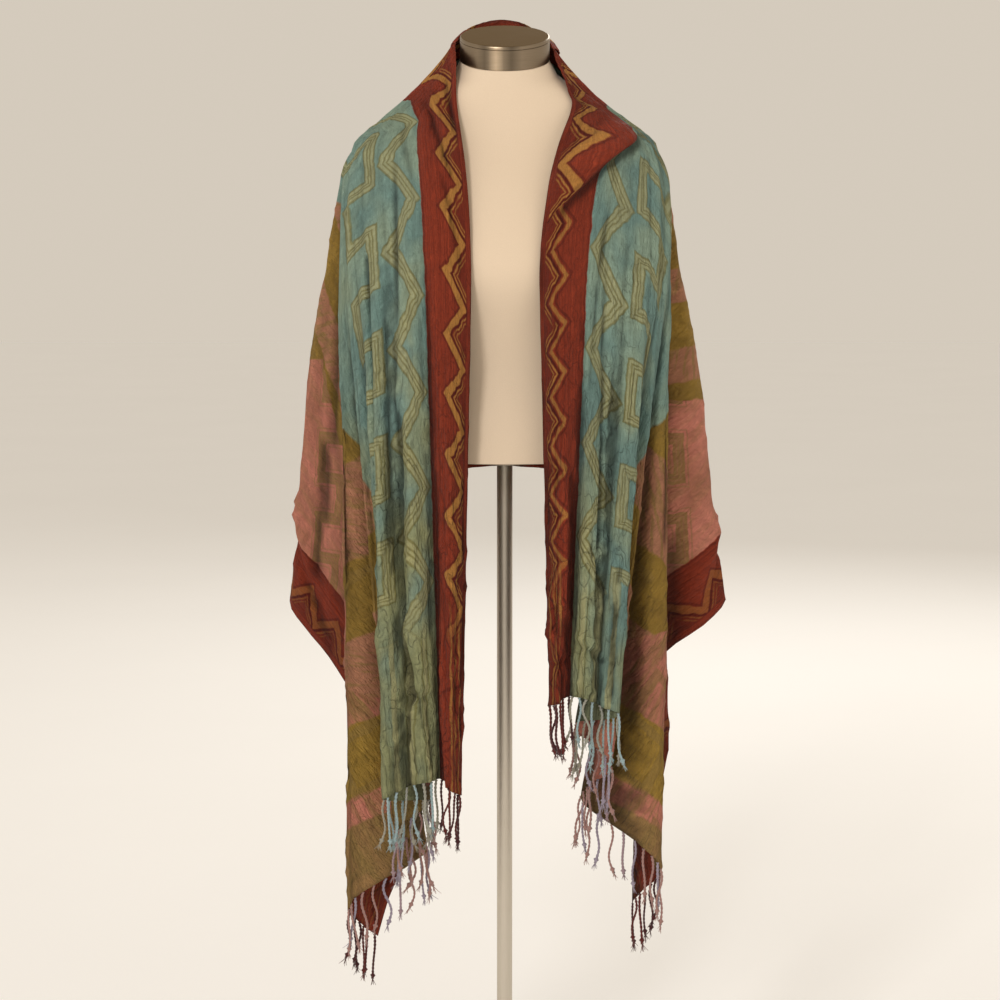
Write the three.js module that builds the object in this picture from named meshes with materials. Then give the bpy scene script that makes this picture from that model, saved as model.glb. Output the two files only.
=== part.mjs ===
// A pashmina scarf, one woven cloth of 700 by 2070 mm, worn open over the shoulders of a dress form.
// Units are millimetres. +Z is up, -Y is the front, +X is to the viewer's right when seen from the front.
// The origin is on the floor, at the centre of the underside of the form's base.
//
// The cloth is laid out by its guides: lines that run straight down the flat cloth from the yoke over the
// shoulders to the lower edge, and hang plumb once the cloth is worn. Those of the front hang along the
// cloth's length, those of the back along its width, and those between fan out from each shoulder tip.
import * as THREE from "three";
import { mergeVertices } from "three/addons/utils/BufferGeometryUtils.js";

// ---- Driving dimensions ----
const CLOTH = {
  width: 700, // from the neck edge to the back hem
  leftLength: 1060, // from the centre back to the left short end
  rightLength: 1010, // from the centre back to the right short end
  border: 80, // woven border along both long edges
  wall: 2, // thickness of the cloth as modelled
  fringe: 75, // length of the knotted fringe
  fringeWall: 2,
};
const SEAM_GAP = 0.3; // between neighbouring stretches of cloth
const STEEPEST_SEAM = 0.25; // sine of the least angle between a seam and the grid that is allowed for
const SEAT_GAP = 0.3; // between hard pieces that meet
const CLOTH_CLEARANCE = 3.1; // from the form to the middle of the cloth where it rests
const UNDER_FORM = 280; // the height over which the cloth swings in below the form
const MID_DROP = 250; // where the guides' middle points lie, measured down the cloth
const YOKE_SAG = 30; // how far the yoke would sink towards the form between collar and shoulder if it lay flat

const FORM = { bottom: 950, neckTop: 1448, squareness: 2.3, segments: 48, rings: 26, tilt: 18 };
const CAP = { radius: 56, height: 30, edge: 2.5, grooveDrop: 4.5, groove: 0.8 };
const STAND = { baseRadius: 170, baseHeight: 12, hubRadius: 24, hubTop: 40, poleRadius: 10,
  plateRadius: 60, plateHeight: 6 };

// The form's horizontal sections, from the bottom up.
const FORM_SECTIONS = [
  { z: 950, halfWidth: 150, halfDepth: 104, centreY: 0 },
  { z: 1000, halfWidth: 144, halfDepth: 99, centreY: 0 },
  { z: 1060, halfWidth: 123, halfDepth: 88, centreY: -2 },
  { z: 1120, halfWidth: 131, halfDepth: 96, centreY: -6 },
  { z: 1185, halfWidth: 148, halfDepth: 117, centreY: -10 },
  { z: 1240, halfWidth: 160, halfDepth: 112, centreY: -6 },
  { z: 1290, halfWidth: 180, halfDepth: 98, centreY: 0 },
  { z: 1322, halfWidth: 190, halfDepth: 84, centreY: 4 },
  { z: 1346, halfWidth: 182, halfDepth: 71, centreY: 6 },
  { z: 1368, halfWidth: 155, halfDepth: 64, centreY: 6 },
  { z: 1390, halfWidth: 122, halfDepth: 60, centreY: 4 },
  { z: 1412, halfWidth: 88, halfDepth: 57, centreY: 2 },
  { z: 1430, halfWidth: 65, halfDepth: 55, centreY: 0 },
  { z: 1448, halfWidth: 55, halfDepth: 54, centreY: 0 },
];

// The top of the collar round the neck, by its distance s along the cloth from the centre back (left is
// negative).
const COLLAR_LINE = [
  { s: -140, x: -60, y: -42, z: 1440 },
  { s: -112, x: -61, y: -18, z: 1458 },
  { s: -84, x: -61, y: 8, z: 1470 },
  { s: -56, x: -50, y: 38, z: 1485 },
  { s: -28, x: -28, y: 59, z: 1498 },
  { s: 0, x: 0, y: 66, z: 1502 },
  { s: 28, x: 28, y: 59, z: 1495 },
  { s: 56, x: 50, y: 38, z: 1478 },
  { s: 84, x: 60, y: 10, z: 1462 },
  { s: 112, x: 64, y: -16, z: 1446 },
  { s: 140, x: 75, y: -40, z: 1420 },
];

// The guides of each side, from the front edge to the back. neck is where the guide crosses the collar's
// top, as a distance along the cloth, and fold is how much of the cloth's width is turned outward there. s
// and t say where the guide starts to hang, on the flat cloth (s along it from the centre back, t across it
// from the neck edge), and turn is its angle there, 0 along the length and 90 across the width. top is that
// point in space, and mid and hem are the plan positions MID_DROP below it and at the cloth's lower end.
const GUIDE_COLUMNS = ["name", "neck", "fold", "s", "t", "turn", "top", "mid", "hem"];
const LEFT_GUIDES = [
  ["edge",         140,   0, 200,   0,    0, [-60, -58, 1388], [-41, -134], [-52, -138]],
  ["border_crest", 134,   0, 212,  40,    0, [-84, -52, 1381], [-66, -141], [-64, -160]],
  ["seam",         128,   0, 232,  80,    0, [-112, -44, 1372], [-96, -136], [-80, -140]],
  ["front_crest",  121,   0, 240, 115,    0, [-138, -36, 1363], [-120, -128], [-99, -159]],
  ["front_valley", 116,   0, 243, 140,    0, [-158, -28, 1355], [-145, -112], [-118, -144]],
  ["pleat_crest",  110,   0, 238, 165,    1, [-175, -22, 1347], [-171, -103], [-149, -158]],
  ["pleat_valley", 106,   0, 230, 170,    8, [-186, -16, 1342], [-177, -86], [-92, -87]],
  ["under_crest",  103,   0, 222, 170,   14, [-192, -12, 1340], [-189, -78], [-140, -107]],
  ["under_valley", 100,   0, 214, 170,   20, [-196, -8, 1339], [-193, -62], [-98, -52]],
  ["side_crest",    97,   0, 208, 170,   27, [-199, -4, 1338], [-206, -55], [-196, -106]],
  ["corner",        94,   0, 206, 170, 31.8, [-201, 1, 1337], [-190, -34], [-162, -58]],
  ["rear_valley",   91,   0, 206, 170,   39, [-202, 7, 1336], [-176, -4], [-112, -22]],
  ["flare_front",   88,   0, 204, 170,   51, [-202, 13, 1335], [-206, 30], [-208, 16]],
  ["flare_crest",   84,   0, 200, 170,   64, [-200, 20, 1335], [-240, 48], [-278, 58]],
  ["flare_back",    78,   5, 192, 170,   75, [-195, 30, 1336], [-214, 88], [-228, 112]],
  ["back_valley",   68,  12, 176, 175,   84, [-184, 46, 1338], [-180, 88], [-180, 84]],
  ["back_crest",    54,  28, 144, 208,   90, [-152, 72, 1340], [-148, 128], [-150, 150]],
  ["back_soft",     36,  52,  96, 252,   90, [-102, 90, 1338], [-98, 114], [-100, 112]],
  ["spine_crest",   18,  72,  48, 280,   90, [-51, 98, 1336], [-50, 126], [-50, 140]],
];
const CENTRE_GUIDE = ["centre",         0,  80,   0, 290,   90, [0, 101, 1335], [0, 117], [0, 122]];
const RIGHT_GUIDES = [
  ["edge",         140,   0, 257,   0,    0, [86, -50, 1388], [42, -134], [54, -138]],
  ["border_crest", 134,   0, 265,  40,    0, [108, -45, 1382], [66, -141], [66, -158]],
  ["seam",         128,   0, 281,  80,    0, [131, -39, 1374], [98, -136], [80, -140]],
  ["front_crest",  121,   0, 289, 115,    0, [151, -32, 1365], [122, -128], [98, -154]],
  ["front_valley", 116,   0, 293, 140,    0, [166, -26, 1356], [146, -112], [114, -142]],
  ["pleat_crest",  110,   0, 291, 165,    1, [178, -21, 1348], [171, -103], [141, -154]],
  ["pleat_valley", 106,   0, 275, 170,    8, [187, -16, 1342], [177, -86], [86, -86]],
  ["under_crest",  103,   0, 252, 170,   14, [192, -12, 1340], [189, -78], [134, -106]],
  ["under_valley", 100,   0, 228, 170, 20.5, [196, -8, 1339], [193, -62], [96, -54]],
  ["side_crest",    97,   0, 210, 170,   28, [199, -4, 1338], [206, -56], [196, -106]],
  ["corner",        94,   0, 206, 170, 33.4, [201, 1, 1337], [192, -36], [162, -66]],
  ["rear_valley",   91,   0, 206, 170,   43, [202, 7, 1336], [198, -8], [206, -28]],
  ["flare_front",   88,   0, 204, 170,   52, [202, 13, 1335], [192, 26], [190, 14]],
  ["flare_crest",   84,   0, 200, 170,   64, [200, 20, 1335], [238, 48], [288, 60]],
  ["flare_back",    78,   5, 192, 170,   75, [195, 30, 1336], [214, 88], [230, 114]],
  ["back_valley",   68,  12, 176, 175,   84, [184, 46, 1338], [180, 88], [182, 86]],
  ["back_crest",    54,  28, 144, 208,   90, [152, 72, 1340], [148, 128], [150, 152]],
  ["back_soft",     36,  52,  96, 252,   90, [102, 90, 1338], [98, 114], [98, 110]],
  ["spine_crest",   18,  72,  48, 280,   90, [51, 98, 1336], [50, 126], [52, 138]],
];

// How finely the cloth is divided: columns between two guides, and rows in each band from the neck down.
const COLUMNS_PER_GUIDE = 3;
const ROWS = { neckBorder: 2, yoke: 3, hanging: 9, hemBorder: 2, fringe: 2, flap: 4 };
const ROW_CROWDING = 1.5; // how much closer the rows are near the shoulders
const FLAP_STANDOFF = [2.5, 6, 8, 8, 7]; // from the middle of the yoke to that of the flap, row by row
const NECK_BORDER_SHARE = { least: 0.2, most: 0.8 }; // of the yoke's depth

const COLOURS = {
  border: { color: 0x7c2f22, roughness: 0.8, metalness: 0 },
  field: { color: 0x86a297, roughness: 0.8, metalness: 0 },
  side: { color: 0xa9705f, roughness: 0.8, metalness: 0 },
  fringe: { color: 0x6f6a68, roughness: 0.9, metalness: 0 },
  jersey: { color: 0xd8bf9f, roughness: 0.9, metalness: 0 },
  steel: { color: 0x9c8d78, roughness: 0.35, metalness: 1 },
};

// ---- The dress form's shape ----

// A column of FORM_SECTIONS at height z, along a cubic through its neighbours.
function formSize(key, z) {
  const rows = FORM_SECTIONS;
  const last = rows.length - 2;
  let i = 0;
  while (i < last && rows[i + 1].z < z) i++;
  const [a, b] = [rows[i], rows[i + 1]];
  const [before, after] = [rows[Math.max(i - 1, 0)], rows[Math.min(i + 2, last + 1)]];
  const span = b.z - a.z;
  const h = THREE.MathUtils.clamp((z - a.z) / span, 0, 1);
  const startSlope = ((b[key] - before[key]) / (b.z - before.z)) * span;
  const endSlope = ((after[key] - a[key]) / (after.z - a.z)) * span;
  return a[key] * (1 + 2 * h) * (1 - h) ** 2 + startSlope * h * (1 - h) ** 2
    + b[key] * h * h * (3 - 2 * h) + endSlope * h * h * (h - 1);
}

// How far out a point lies from the form's axis, as a share of the form's own surface there. Below the form
// the surface tapers to nothing, since the cloth swings in only slowly under it.
function formShare(p) {
  const z = THREE.MathUtils.clamp(p.z, FORM.bottom, FORM.neckTop);
  const taper = THREE.MathUtils.clamp(1 - (FORM.bottom - p.z) / UNDER_FORM, 0.01, 1);
  const x = Math.abs(p.x) / (taper * formSize("halfWidth", z));
  const y = Math.abs(p.y - formSize("centreY", z)) / (taper * formSize("halfDepth", z));
  return (x ** FORM.squareness + y ** FORM.squareness) ** (1 / FORM.squareness);
}

// Moves a point of the cloth out along the form's slope until it clears the form.
function clearOfForm(p) {
  const step = 0.5;
  for (let i = 0; i < 8; i++) {
    const share = formShare(p);
    const slope = new THREE.Vector3(
      formShare(p.clone().setX(p.x + step)) - share,
      formShare(p.clone().setY(p.y + step)) - share,
      formShare(p.clone().setZ(p.z + step)) - share,
    ).divideScalar(step);
    const steepness = Math.max(slope.length(), 1e-4);
    const missing = CLOTH_CLEARANCE - (share - 1) / steepness;
    if (missing <= 0.01) break;
    p.addScaledVector(slope, Math.min(missing, 20) / steepness);
  }
  return p;
}

// ---- The cloth's shape ----

const radians = THREE.MathUtils.degToRad;

// A guide from its row of the tables, named for its side, with neck signed as in COLLAR_LINE.
function guideOf(row, side, sign) {
  const guide = Object.fromEntries(GUIDE_COLUMNS.map((column, i) => [column, row[i]]));
  return { ...guide, name: side + guide.name, neck: sign * guide.neck };
}

// All guides from the left front edge round the back to the right front edge.
const GUIDES = [
  ...LEFT_GUIDES.map((row) => guideOf(row, "left_", -1)),
  guideOf(CENTRE_GUIDE, "", 1),
  ...RIGHT_GUIDES.map((row) => guideOf(row, "right_", 1)).reverse(),
];
const guideIndex = (name) => GUIDES.findIndex((g) => g.name === name);
const CENTRE = guideIndex("centre");

const curveThrough = (points) => new THREE.CatmullRomCurve3(points, false, "centripetal");
const CURVES = {
  top: curveThrough(GUIDES.map((g) => new THREE.Vector3(...g.top))),
  mid: curveThrough(GUIDES.map((g) => new THREE.Vector3(...g.mid, 0))),
  hem: curveThrough(GUIDES.map((g) => new THREE.Vector3(...g.hem, 0))),
};
const at = (curve, u) => CURVES[curve].getPoint(u / (GUIDES.length - 1));
const COLLAR_CURVE = curveThrough(COLLAR_LINE.map((p) => new THREE.Vector3(p.x, p.y, p.z)));

// A column of the guide tables at u, between two guides.
function guideSize(key, u) {
  const i = Math.min(Math.floor(u), GUIDES.length - 2);
  return THREE.MathUtils.lerp(GUIDES[i][key], GUIDES[i + 1][key], u - i);
}

// The collar's top where the guide at u crosses it.
function collarTop(u) {
  const ends = [COLLAR_LINE[0].s, COLLAR_LINE[COLLAR_LINE.length - 1].s];
  return COLLAR_CURVE.getPoint(THREE.MathUtils.inverseLerp(ends[0], ends[1], guideSize("neck", u)));
}

// Where the guide at u leaves the yoke on the flat cloth, and where its border band and lower edge begin.
function flatLine(u) {
  const [s, t, turn] = [guideSize("s", u), guideSize("t", u), radians(guideSize("turn", u))];
  const length = u <= CENTRE ? CLOTH.leftLength : CLOTH.rightLength;
  const reach = (inset) => Math.min(
    (length - inset - s) / Math.max(Math.cos(turn), 1e-6),
    (CLOTH.width - inset - t) / Math.max(Math.sin(turn), 1e-6),
  );
  return { s, t, turn, toBorder: reach(CLOTH.border), toEnd: reach(0) };
}

// A point of the hanging cloth, a distance r down the guide at u.
function hangingPoint(u, r) {
  const [top, mid, hem] = [at("top", u), at("mid", u), at("hem", u)];
  const plan = (a, b) => new THREE.Vector2(b.x - a.x, b.y - a.y);
  const below = flatLine(u).toEnd - MID_DROP;
  const slope = plan(mid, hem).divideScalar(below);
  const drift = plan(top, mid);
  const bend = slope.clone().multiplyScalar(MID_DROP);
  const dropTo = (path, away) => Math.sqrt(Math.max(path * path - away.lengthSq(), 0));
  if (r > MID_DROP) {
    const rest = r - MID_DROP;
    const away = slope.clone().multiplyScalar(rest);
    return new THREE.Vector3(mid.x + away.x, mid.y + away.y,
      top.z - dropTo(MID_DROP, drift) - dropTo(rest, away));
  }
  const h = r / MID_DROP;
  const away = drift.clone().multiplyScalar(2).sub(bend).multiplyScalar(h)
    .add(bend.clone().sub(drift).multiplyScalar(h * h));
  return new THREE.Vector3(top.x + away.x, top.y + away.y, top.z - dropTo(r, away));
}

// A point of the yoke, a share v of the way from the collar's top to where the guide at u starts to hang. The
// yoke sags towards the form, the more the flatter it lies.
function yokePoint(u, v) {
  const [neck, top] = [collarTop(u), at("top", u)];
  const flatness = Math.hypot(top.x - neck.x, top.y - neck.y) / neck.distanceTo(top);
  const p = neck.lerp(top, v);
  p.z -= YOKE_SAG * flatness ** 2 * Math.sin(Math.PI * v) * (1 - v);
  return p;
}

// All points of the grid's column at u, from the collar's top down.
function columnPoints(u) {
  const flat = flatLine(u);
  const fold = guideSize("fold", u);
  const borderShare = THREE.MathUtils.clamp((CLOTH.border - fold) / Math.max(flat.t - fold, 1),
    NECK_BORDER_SHARE.least, NECK_BORDER_SHARE.most);
  const points = [];
  for (let k = 0; k < ROWS.neckBorder; k++) points.push(yokePoint(u, borderShare * (k / ROWS.neckBorder)));
  for (let k = 0; k < ROWS.yoke; k++) {
    points.push(yokePoint(u, THREE.MathUtils.lerp(borderShare, 1, k / ROWS.yoke)));
  }
  for (let k = 0; k < ROWS.hanging; k++) {
    points.push(hangingPoint(u, flat.toBorder * (k / ROWS.hanging) ** ROW_CROWDING));
  }
  for (let k = 0; k <= ROWS.hemBorder; k++) {
    points.push(hangingPoint(u, THREE.MathUtils.lerp(flat.toBorder, flat.toEnd, k / ROWS.hemBorder)));
  }
  for (let k = 1; k <= ROWS.fringe; k++) {
    points.push(hangingPoint(u, flat.toEnd + CLOTH.fringe * (k / ROWS.fringe)));
  }
  return points.map(clearOfForm);
}

// The collar's turned-out flap, whose columns run out and down from the collar's top over the yoke.
function flapPoints(u) {
  const share = guideSize("fold", u) / (guideSize("t", u) - guideSize("fold", u));
  return Array.from({ length: ROWS.flap + 1 }, (_, k) => {
    const v = share * (k / ROWS.flap);
    const p = clearOfForm(yokePoint(u, v));
    const across = clearOfForm(yokePoint(u + 0.05, v)).sub(clearOfForm(yokePoint(u - 0.05, v)));
    const down = clearOfForm(yokePoint(u, v + 0.02)).sub(p);
    return p.addScaledVector(across.cross(down).normalize(), FLAP_STANDOFF[k]);
  });
}

const ROW = { neck: 0, yoke: ROWS.neckBorder };
ROW.hanging = ROW.yoke + ROWS.yoke;
ROW.hemBorder = ROW.hanging + ROWS.hanging;
ROW.end = ROW.hemBorder + ROWS.hemBorder;
ROW.fringeEnd = ROW.end + ROWS.fringe;

const columnCount = (GUIDES.length - 1) * COLUMNS_PER_GUIDE + 1;
const BODY_GRID = Array.from({ length: columnCount }, (_, c) => columnPoints(c / COLUMNS_PER_GUIDE));

// The direction of travel through a point from its neighbours, each side counting the same.
function directionAt(before, point, after) {
  return point.clone().sub(before).normalize().add(after.clone().sub(point).normalize());
}

// The cloth's outward normal at a point of its grid.
function gridNormal(grid, c, r) {
  const lastColumn = grid.length - 1;
  const lastRow = grid[0].length - 1;
  const across = directionAt(grid[Math.max(c - 1, 0)][r], grid[c][r], grid[Math.min(c + 1, lastColumn)][r]);
  const down = directionAt(grid[c][Math.max(r - 1, 0)], grid[c][r], grid[c][Math.min(r + 1, lastRow)]);
  return across.cross(down).normalize();
}

// A seam's point moved inward, so that the seam stands half the seam gap back however steeply it crosses
// the grid. inner is the next point inward, and along holds the seam's own neighbouring points.
function insetPoint(p, inner, along) {
  const inward = inner.clone().sub(p).normalize();
  const steepness = along.map((q) => q.clone().sub(p).normalize().cross(inward).length());
  return p.clone().addScaledVector(inward, SEAM_GAP / 2 / Math.max(Math.min(...steepness), STEEPEST_SEAM));
}

// One stretch of the cloth as a closed wall, between two columns and two rows of its grid.
function clothWall(grid, columns, rows, wall) {
  const [c0, c1] = columns;
  const [r0, r1] = rows;
  const [nc, nr] = [c1 - c0 + 1, r1 - r0 + 1];
  const middle = [];
  for (let c = c0; c <= c1; c++) {
    for (let r = r0; r <= r1; r++) {
      let p = grid[c][r];
      const beside = [grid[Math.max(c - 1, c0)][r], grid[Math.min(c + 1, c1)][r]].filter((q) => q !== p);
      const aboveBelow = [grid[c][Math.max(r - 1, r0)], grid[c][Math.min(r + 1, r1)]].filter((q) => q !== p);
      if (c === c0) p = insetPoint(p, grid[c + 1][r], aboveBelow);
      if (c === c1) p = insetPoint(p, grid[c - 1][r], aboveBelow);
      if (r === r0) p = insetPoint(p, grid[c][r + 1], beside);
      if (r === r1) p = insetPoint(p, grid[c][r - 1], beside);
      middle.push({ p, n: gridNormal(grid, c, r) });
    }
  }
  const outer = middle.map(({ p, n }) => p.clone().addScaledVector(n, wall / 2));
  const inner = middle.map(({ p, n }) => p.clone().addScaledVector(n, -wall / 2));
  const vertices = [...outer, ...inner].flatMap((p) => [p.x, p.y, p.z]);
  const index = [];
  const quad = (a, b, c, d) => index.push(a, c, b, a, d, c);
  const id = (c, r, side) => side * nc * nr + c * nr + r;
  for (let c = 0; c < nc - 1; c++) {
    for (let r = 0; r < nr - 1; r++) {
      quad(id(c, r, 0), id(c, r + 1, 0), id(c + 1, r + 1, 0), id(c + 1, r, 0));
      quad(id(c, r, 1), id(c + 1, r, 1), id(c + 1, r + 1, 1), id(c, r + 1, 1));
    }
  }
  for (let c = 0; c < nc - 1; c++) {
    quad(id(c, 0, 0), id(c + 1, 0, 0), id(c + 1, 0, 1), id(c, 0, 1));
    quad(id(c, nr - 1, 0), id(c, nr - 1, 1), id(c + 1, nr - 1, 1), id(c + 1, nr - 1, 0));
  }
  for (let r = 0; r < nr - 1; r++) {
    quad(id(0, r, 0), id(0, r, 1), id(0, r + 1, 1), id(0, r + 1, 0));
    quad(id(nc - 1, r, 0), id(nc - 1, r + 1, 0), id(nc - 1, r + 1, 1), id(nc - 1, r, 1));
  }
  return new THREE.BufferGeometry()
    .setAttribute("position", new THREE.Float32BufferAttribute(vertices, 3))
    .setIndex(index);
}

// ---- The dress form and its stand ----

const cosPower = (angle, f) => Math.sign(f(angle)) * Math.abs(f(angle)) ** (2 / FORM.squareness);

// The form's body: its sections lofted into one closed skin. The rings of the neck lean forward with the cap.
function formBody() {
  const vertices = [];
  const tilt = Math.tan(radians(FORM.tilt));
  const leanFrom = 1400;
  for (let i = 0; i <= FORM.rings; i++) {
    const z = THREE.MathUtils.lerp(FORM.bottom, FORM.neckTop, i / FORM.rings);
    const lean = tilt * THREE.MathUtils.smoothstep(z, leanFrom, FORM.neckTop);
    for (let k = 0; k < FORM.segments; k++) {
      const angle = (2 * Math.PI * k) / FORM.segments;
      const x = formSize("halfWidth", z) * cosPower(angle, Math.cos);
      const y = formSize("centreY", z) + formSize("halfDepth", z) * cosPower(angle, Math.sin);
      vertices.push(x, y, z + y * lean);
    }
  }
  const index = [];
  const id = (i, k) => i * FORM.segments + (k % FORM.segments);
  for (let i = 0; i < FORM.rings; i++) {
    for (let k = 0; k < FORM.segments; k++) {
      index.push(id(i, k), id(i, k + 1), id(i + 1, k + 1), id(i, k), id(i + 1, k + 1), id(i + 1, k));
    }
  }
  const addCap = (ring, up) => {
    for (let k = 1; k < FORM.segments - 1; k++) {
      const [b, c] = up ? [k, k + 1] : [k + 1, k];
      index.push(id(ring, 0), id(ring, b), id(ring, c));
    }
  };
  addCap(0, false);
  addCap(FORM.rings, true);
  return new THREE.BufferGeometry()
    .setAttribute("position", new THREE.Float32BufferAttribute(vertices, 3))
    .setIndex(index);
}

// A turned piece about +Z from its profile of [radius, height] pairs, listed from the bottom up.
function turned(profile, segments = 48) {
  const lathe = new THREE.LatheGeometry(profile.map(([r, z]) => new THREE.Vector2(r, z)), segments);
  lathe.deleteAttribute("normal");
  lathe.deleteAttribute("uv");
  return mergeVertices(lathe.rotateX(Math.PI / 2), 1e-3);
}

function disc(radius, height, segments) {
  return turned([[0, 0], [radius, 0], [radius, height], [0, height]], segments);
}

// The spun steel cap that closes the neck, with a rolled top edge and a fine groove below it.
function neckCap() {
  const { radius, height, edge, grooveDrop, groove } = CAP;
  const roll = Array.from({ length: 4 }, (_, k) => {
    const angle = (k / 3) * (Math.PI / 2);
    return [radius - edge + edge * Math.cos(angle), height - edge + edge * Math.sin(angle)];
  });
  return turned([
    [0, 0], [radius, 0],
    [radius, height - grooveDrop - groove], [radius - groove, height - grooveDrop - groove / 2],
    [radius, height - grooveDrop], ...roll, [0, height],
  ]);
}

function standBase() {
  const { baseRadius, baseHeight, hubRadius, hubTop } = STAND;
  return turned([
    [0, 0], [baseRadius, 0], [baseRadius, baseHeight * 0.4], [baseRadius * 0.94, baseHeight],
    [hubRadius * 1.3, baseHeight * 1.3], [hubRadius, baseHeight * 2], [hubRadius, hubTop], [0, hubTop],
  ], 64);
}

// ---- The scene graph ----

const scarfOnForm = new THREE.Group();

function addPiece(name, geometry, colour, parent = scarfOnForm) {
  const mesh = new THREE.Mesh(geometry, new THREE.MeshStandardMaterial(COLOURS[colour]));
  mesh.name = name;
  parent.add(mesh);
  return mesh;
}

// The grid's column at a guide, or a number of columns behind it towards the back.
function columnOf(guide, behind = 0) {
  return guideIndex(guide) * COLUMNS_PER_GUIDE + (guide.startsWith("left") ? behind : -behind);
}

function addStretch(name, colour, ends, rows, wall = CLOTH.wall) {
  const columns = ends.toSorted((a, b) => a - b);
  addPiece(name, clothWall(BODY_GRID, columns, rows, wall), colour);
}

for (const side of ["left", "right"]) {
  const edge = columnOf(`${side}_edge`);
  const border = columnOf(`${side}_seam`);
  const pleat = columnOf(`${side}_pleat_valley`, 1);
  const corner = columnOf(`${side}_corner`);
  const back = columnOf(`${side}_back_valley`, 1);
  addStretch(`front_border_${side}`, "border", [edge, border], [ROW.neck, ROW.end]);
  addStretch(`front_panel_${side}`, "field", [border, pleat], [ROW.yoke, ROW.end]);
  addStretch(`side_fold_${side}`, "side", [pleat, corner], [ROW.yoke, ROW.end]);
  addStretch(`side_flare_${side}`, "side", [corner, back], [ROW.yoke, ROW.hemBorder]);
  addStretch(`hem_border_${side}`, "border", [corner, back], [ROW.hemBorder, ROW.end]);
  addStretch(`fringe_front_${side}`, "fringe", [edge, pleat], [ROW.end, ROW.fringeEnd], CLOTH.fringeWall);
  addStretch(`fringe_side_${side}`, "fringe", [pleat, corner], [ROW.end, ROW.fringeEnd], CLOTH.fringeWall);
}
const backColumns = [columnOf("left_back_valley", 1), columnOf("right_back_valley", 1)];
addStretch("neck_border", "border", [columnOf("left_seam"), columnOf("right_seam")], [ROW.neck, ROW.yoke]);
addStretch("back_panel", "field", backColumns, [ROW.yoke, ROW.hemBorder]);
addStretch("hem_border_back", "border", backColumns, [ROW.hemBorder, ROW.end]);

const flapColumns = columnOf("right_back_valley") - columnOf("left_back_valley");
const FLAP_GRID = Array.from({ length: flapColumns + 1 }, (_, c) =>
  flapPoints(guideIndex("left_back_valley") + c / COLUMNS_PER_GUIDE));
addPiece("collar_flap", clothWall(FLAP_GRID, [0, flapColumns], [0, ROWS.flap], CLOTH.wall), "border");

addPiece("form_body", formBody(), "jersey");
const neckAxis = new THREE.Group(); // the neck's top, tilted forward
neckAxis.position.set(0, 0, FORM.neckTop);
neckAxis.rotation.x = radians(FORM.tilt);
scarfOnForm.add(neckAxis);
addPiece("neck_cap", neckCap(), "steel", neckAxis).position.z = SEAT_GAP;

const plateBottom = FORM.bottom - SEAT_GAP - STAND.plateHeight;
const plate = disc(STAND.plateRadius, STAND.plateHeight);
addPiece("form_plate", plate, "steel").position.z = plateBottom;
const poleLength = plateBottom - STAND.hubTop - 2 * SEAT_GAP;
const pole = disc(STAND.poleRadius, poleLength, 32);
addPiece("stand_pole", pole, "steel").position.z = STAND.hubTop + SEAT_GAP;
addPiece("stand_base", standBase(), "steel");

export default scarfOnForm;
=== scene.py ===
"""A pashmina scarf worn open over the shoulders of a dress form on its stand.

The cloth is one thin sheet. It is laid out by the same guides as its solid: lines that run straight down the
flat cloth and hang plumb once it is worn. Creases given one by one and soft waves are added to it.
"""
import math
import random
from functools import partialmethod

import bpy
import numpy as np
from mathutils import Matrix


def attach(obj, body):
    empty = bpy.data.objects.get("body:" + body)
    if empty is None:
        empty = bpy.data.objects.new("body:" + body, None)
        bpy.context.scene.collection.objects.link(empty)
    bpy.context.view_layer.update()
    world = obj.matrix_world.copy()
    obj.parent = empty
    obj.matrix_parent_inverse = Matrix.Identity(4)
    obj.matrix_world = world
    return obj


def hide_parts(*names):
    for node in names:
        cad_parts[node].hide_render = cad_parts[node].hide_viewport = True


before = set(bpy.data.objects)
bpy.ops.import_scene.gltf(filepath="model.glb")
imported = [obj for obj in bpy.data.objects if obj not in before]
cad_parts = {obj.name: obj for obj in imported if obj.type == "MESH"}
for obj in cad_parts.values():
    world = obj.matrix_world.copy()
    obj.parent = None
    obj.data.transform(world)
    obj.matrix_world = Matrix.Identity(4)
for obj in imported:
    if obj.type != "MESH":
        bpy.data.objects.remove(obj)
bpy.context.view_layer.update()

MM = 0.001

# ---- Sizes of the part, in millimetres, as the solid has them ----
WIDTH = 700  # of the cloth, from the neck edge to the back hem
LEFT_LENGTH = 1060  # of the cloth, from the centre back to its left end
RIGHT_LENGTH = 1010
BORDER = 80
FRINGE = 75
CLEARANCE = 3.1  # the least from the form to the middle of the cloth, before its creases are added
UNDER_FORM = 280  # the cloth stays clear of a taper this high below the form
MID_DROP = 250  # how far below its start each guide is placed in plan
YOKE_SAG = 30  # how much the cloth between the collar and the shoulders sags where it lies flat
FORM_BOTTOM = 950
NECK_TOP = 1448
SQUARENESS = 2.3  # of the form's sections, where 2 is an ellipse

# The form's horizontal sections: height, half width, half depth, and how far back the centre lies.
FORM_SECTIONS = np.array([
    (950, 150, 104, 0),
    (1000, 144, 99, 0),
    (1060, 123, 88, -2),
    (1120, 131, 96, -6),
    (1185, 148, 117, -10),
    (1240, 160, 112, -6),
    (1290, 180, 98, 0),
    (1322, 190, 84, 4),
    (1346, 182, 71, 6),
    (1368, 155, 64, 6),
    (1390, 122, 60, 4),
    (1412, 88, 57, 2),
    (1430, 65, 55, 0),
    (1448, 55, 54, 0),
], float)

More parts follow.
